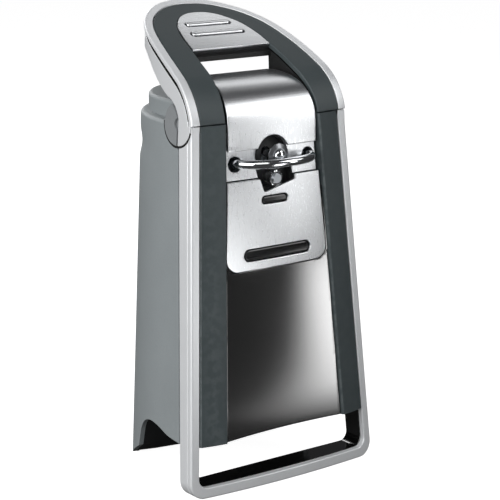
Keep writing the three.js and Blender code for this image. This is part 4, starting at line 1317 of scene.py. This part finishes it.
# ---- Lever's inner moulding and hinge
# Dark glass-filled moulding under the lever's skin: window walls, and cheeks with half-round
# ears sprayed grey. A zinc cross bar joins them; each ear has a steel pin and a grey plug.
def make_ear_plastic():
    finish, tree, shader = new_finish("ear_plastic")
    grain = place_group(tree, fine_grain, Colour=tone(14, 15, 15), Scale=1500.0,
                        Colour_Shift=0.5, Roughness=0.5, Roughness_Shift=0.16)
    spray = place_group(tree, fine_grain, Colour=tone(128, 131, 133), Scale=1300.0,
                        Colour_Shift=0.3, Roughness=0.56, Roughness_Shift=0.16)
    place = tree.nodes.new("ShaderNodeTexCoord").outputs["Object"]
    axes = wire(tree, "ShaderNodeSeparateXYZ", Vector=place)
    out_far = math_of(tree, "GREATER_THAN", math_of(tree, "ABSOLUTE", axes.outputs["X"]), 0.0443)
    low_down = math_of(tree, "LESS_THAN", axes.outputs["Z"], 0.2)
    mask = math_of(tree, "MULTIPLY", out_far, low_down)
    colour = blend_of(tree, mask, grain.outputs["Colour"], spray.outputs["Colour"])
    tree.links.new(colour, shader.inputs["Base Color"])
    tree.links.new(spray.outputs["Roughness"], shader.inputs["Roughness"])
    add_bump(tree, shader, grain.outputs["Height"], 0.25, 0.00012)
    return finish


def build_pivot_caps():
    """Grey plugs that close the outer end of each pin's bore in the rear half of the ears."""
    radius, half_turn = 2.85, 1.286
    turns = [half_turn * (k / 12 - 1) for k in range(25)]
    face = [(PIVOT_Y + radius * math.cos(t), PIVOT_Z + radius * math.sin(t)) for t in turns]
    for name, side in (("left", -1), ("right", 1)):
        sections = [[(side * x, y, z) for y, z in face] for x in (44.9, 46.95)]
        add_piece(f"pivot_cap_{name}", swept(sections), ear_plastic, "lever", [])


ear_plastic = make_ear_plastic()
keep_node("lever_inner_shell", ear_plastic, 0.15, crease=40)
build_pivot_caps()
keep_node("lever_cross_bar", zinc_steel, 0.4)
for side in ("left", "right"):
    keep_node(f"pivot_pin_{side}", zinc_steel, 0.3)


# ---- Chassis, carriage, spring and switch
# Folded zinc-plated steel plate screwed to the front shell. It carries the sliding cutter
# carriage, the seat of the return spring, and the micro switch the lever works.
nylon = make_finish("nylon", (232, 228, 214), (900.0, 0.14, 0.42, 0.16),
                    (0.2, (246, 244, 236)), bump=(0.1, 0.00008), Subsurface_Weight=0.08)
keep_node("chassis_plate", zinc_steel, 0.2)
for number in range(1, 5):
    keep_node(f"chassis_screw_{number}", zinc_steel, 0.3)
for name in ("cutter_carriage", "spring_seat"):
    keep_node(name, zinc_steel, 0.2)
keep_node("lever_return_spring", zinc_steel, 0.0)
keep_node("switch_body", dark_plastic, 0.3)
keep_node("switch_plunger", nylon, 0.3)
keep_node("drive_bushing", nylon, 0.25)


# ---- Gear train
# Three moulded nylon stages bring the motor down by 27 to 1. The two idlers turn on
# riveted steel posts, and the output gear is pressed on the drive shaft.
for name in ("output_gear", "idler_gear_1", "idler_gear_2", "cooling_fan"):
    keep_node(name, nylon, 0.15)
for name in ("idler_post_1", "idler_post_2", "motor_shaft_pinion"):
    keep_node(name, zinc_steel, 0.15)


# ---- Motor
# Shaded-pole motor: stator and rotor stacked from 0.5 mm steel laminations, one enamelled
# copper coil round the lower limb, and two zinc brackets held by through bolts.
def make_striped(name, colour, dark, pitch, axis, metallic, roughness):
    """Metal in fine regular layers, for a lamination stack or a wound coil."""
    finish, tree, shader = new_finish(name, Metallic=metallic)
    place = tree.nodes.new("ShaderNodeTexCoord").outputs["Object"]
    axes = wire(tree, "ShaderNodeSeparateXYZ", Vector=place)
    wave = math_of(tree, "MULTIPLY", axes.outputs[axis], 2 * math.pi / (pitch * MM))
    layer = math_of(tree, "MULTIPLY", math_of(tree, "ADD", math_of(tree, "SINE", wave), 1.0), 0.5)
    grain = place_group(tree, fine_grain, Colour=colour, Scale=700.0, Colour_Shift=0.4,
                        Roughness=roughness, Roughness_Shift=0.2)
    mixed = blend_of(tree, layer, dark, grain.outputs["Colour"])
    tree.links.new(mixed, shader.inputs["Base Color"])
    tree.links.new(grain.outputs["Roughness"], shader.inputs["Roughness"])
    add_bump(tree, shader, layer, 0.5, 0.0002)
    return finish


lamination = make_striped("lamination", tone(128, 130, 133), tone(44, 44, 46), 1.0, "Y", 0.85, 0.45)
copper = make_striped("copper_winding", tone(196, 112, 52), tone(84, 38, 14), 0.8, "X", 0.9, 0.32)
for name in ("stator_core", "motor_rotor"):
    keep_node(name, lamination, 0.3)
keep_node("field_coil", copper, 1.2, segments=3)
for name in ("motor_bracket_front", "motor_bracket_rear", "motor_bolt_left", "motor_bolt_right"):
    keep_node(name, zinc_steel, 0.25)
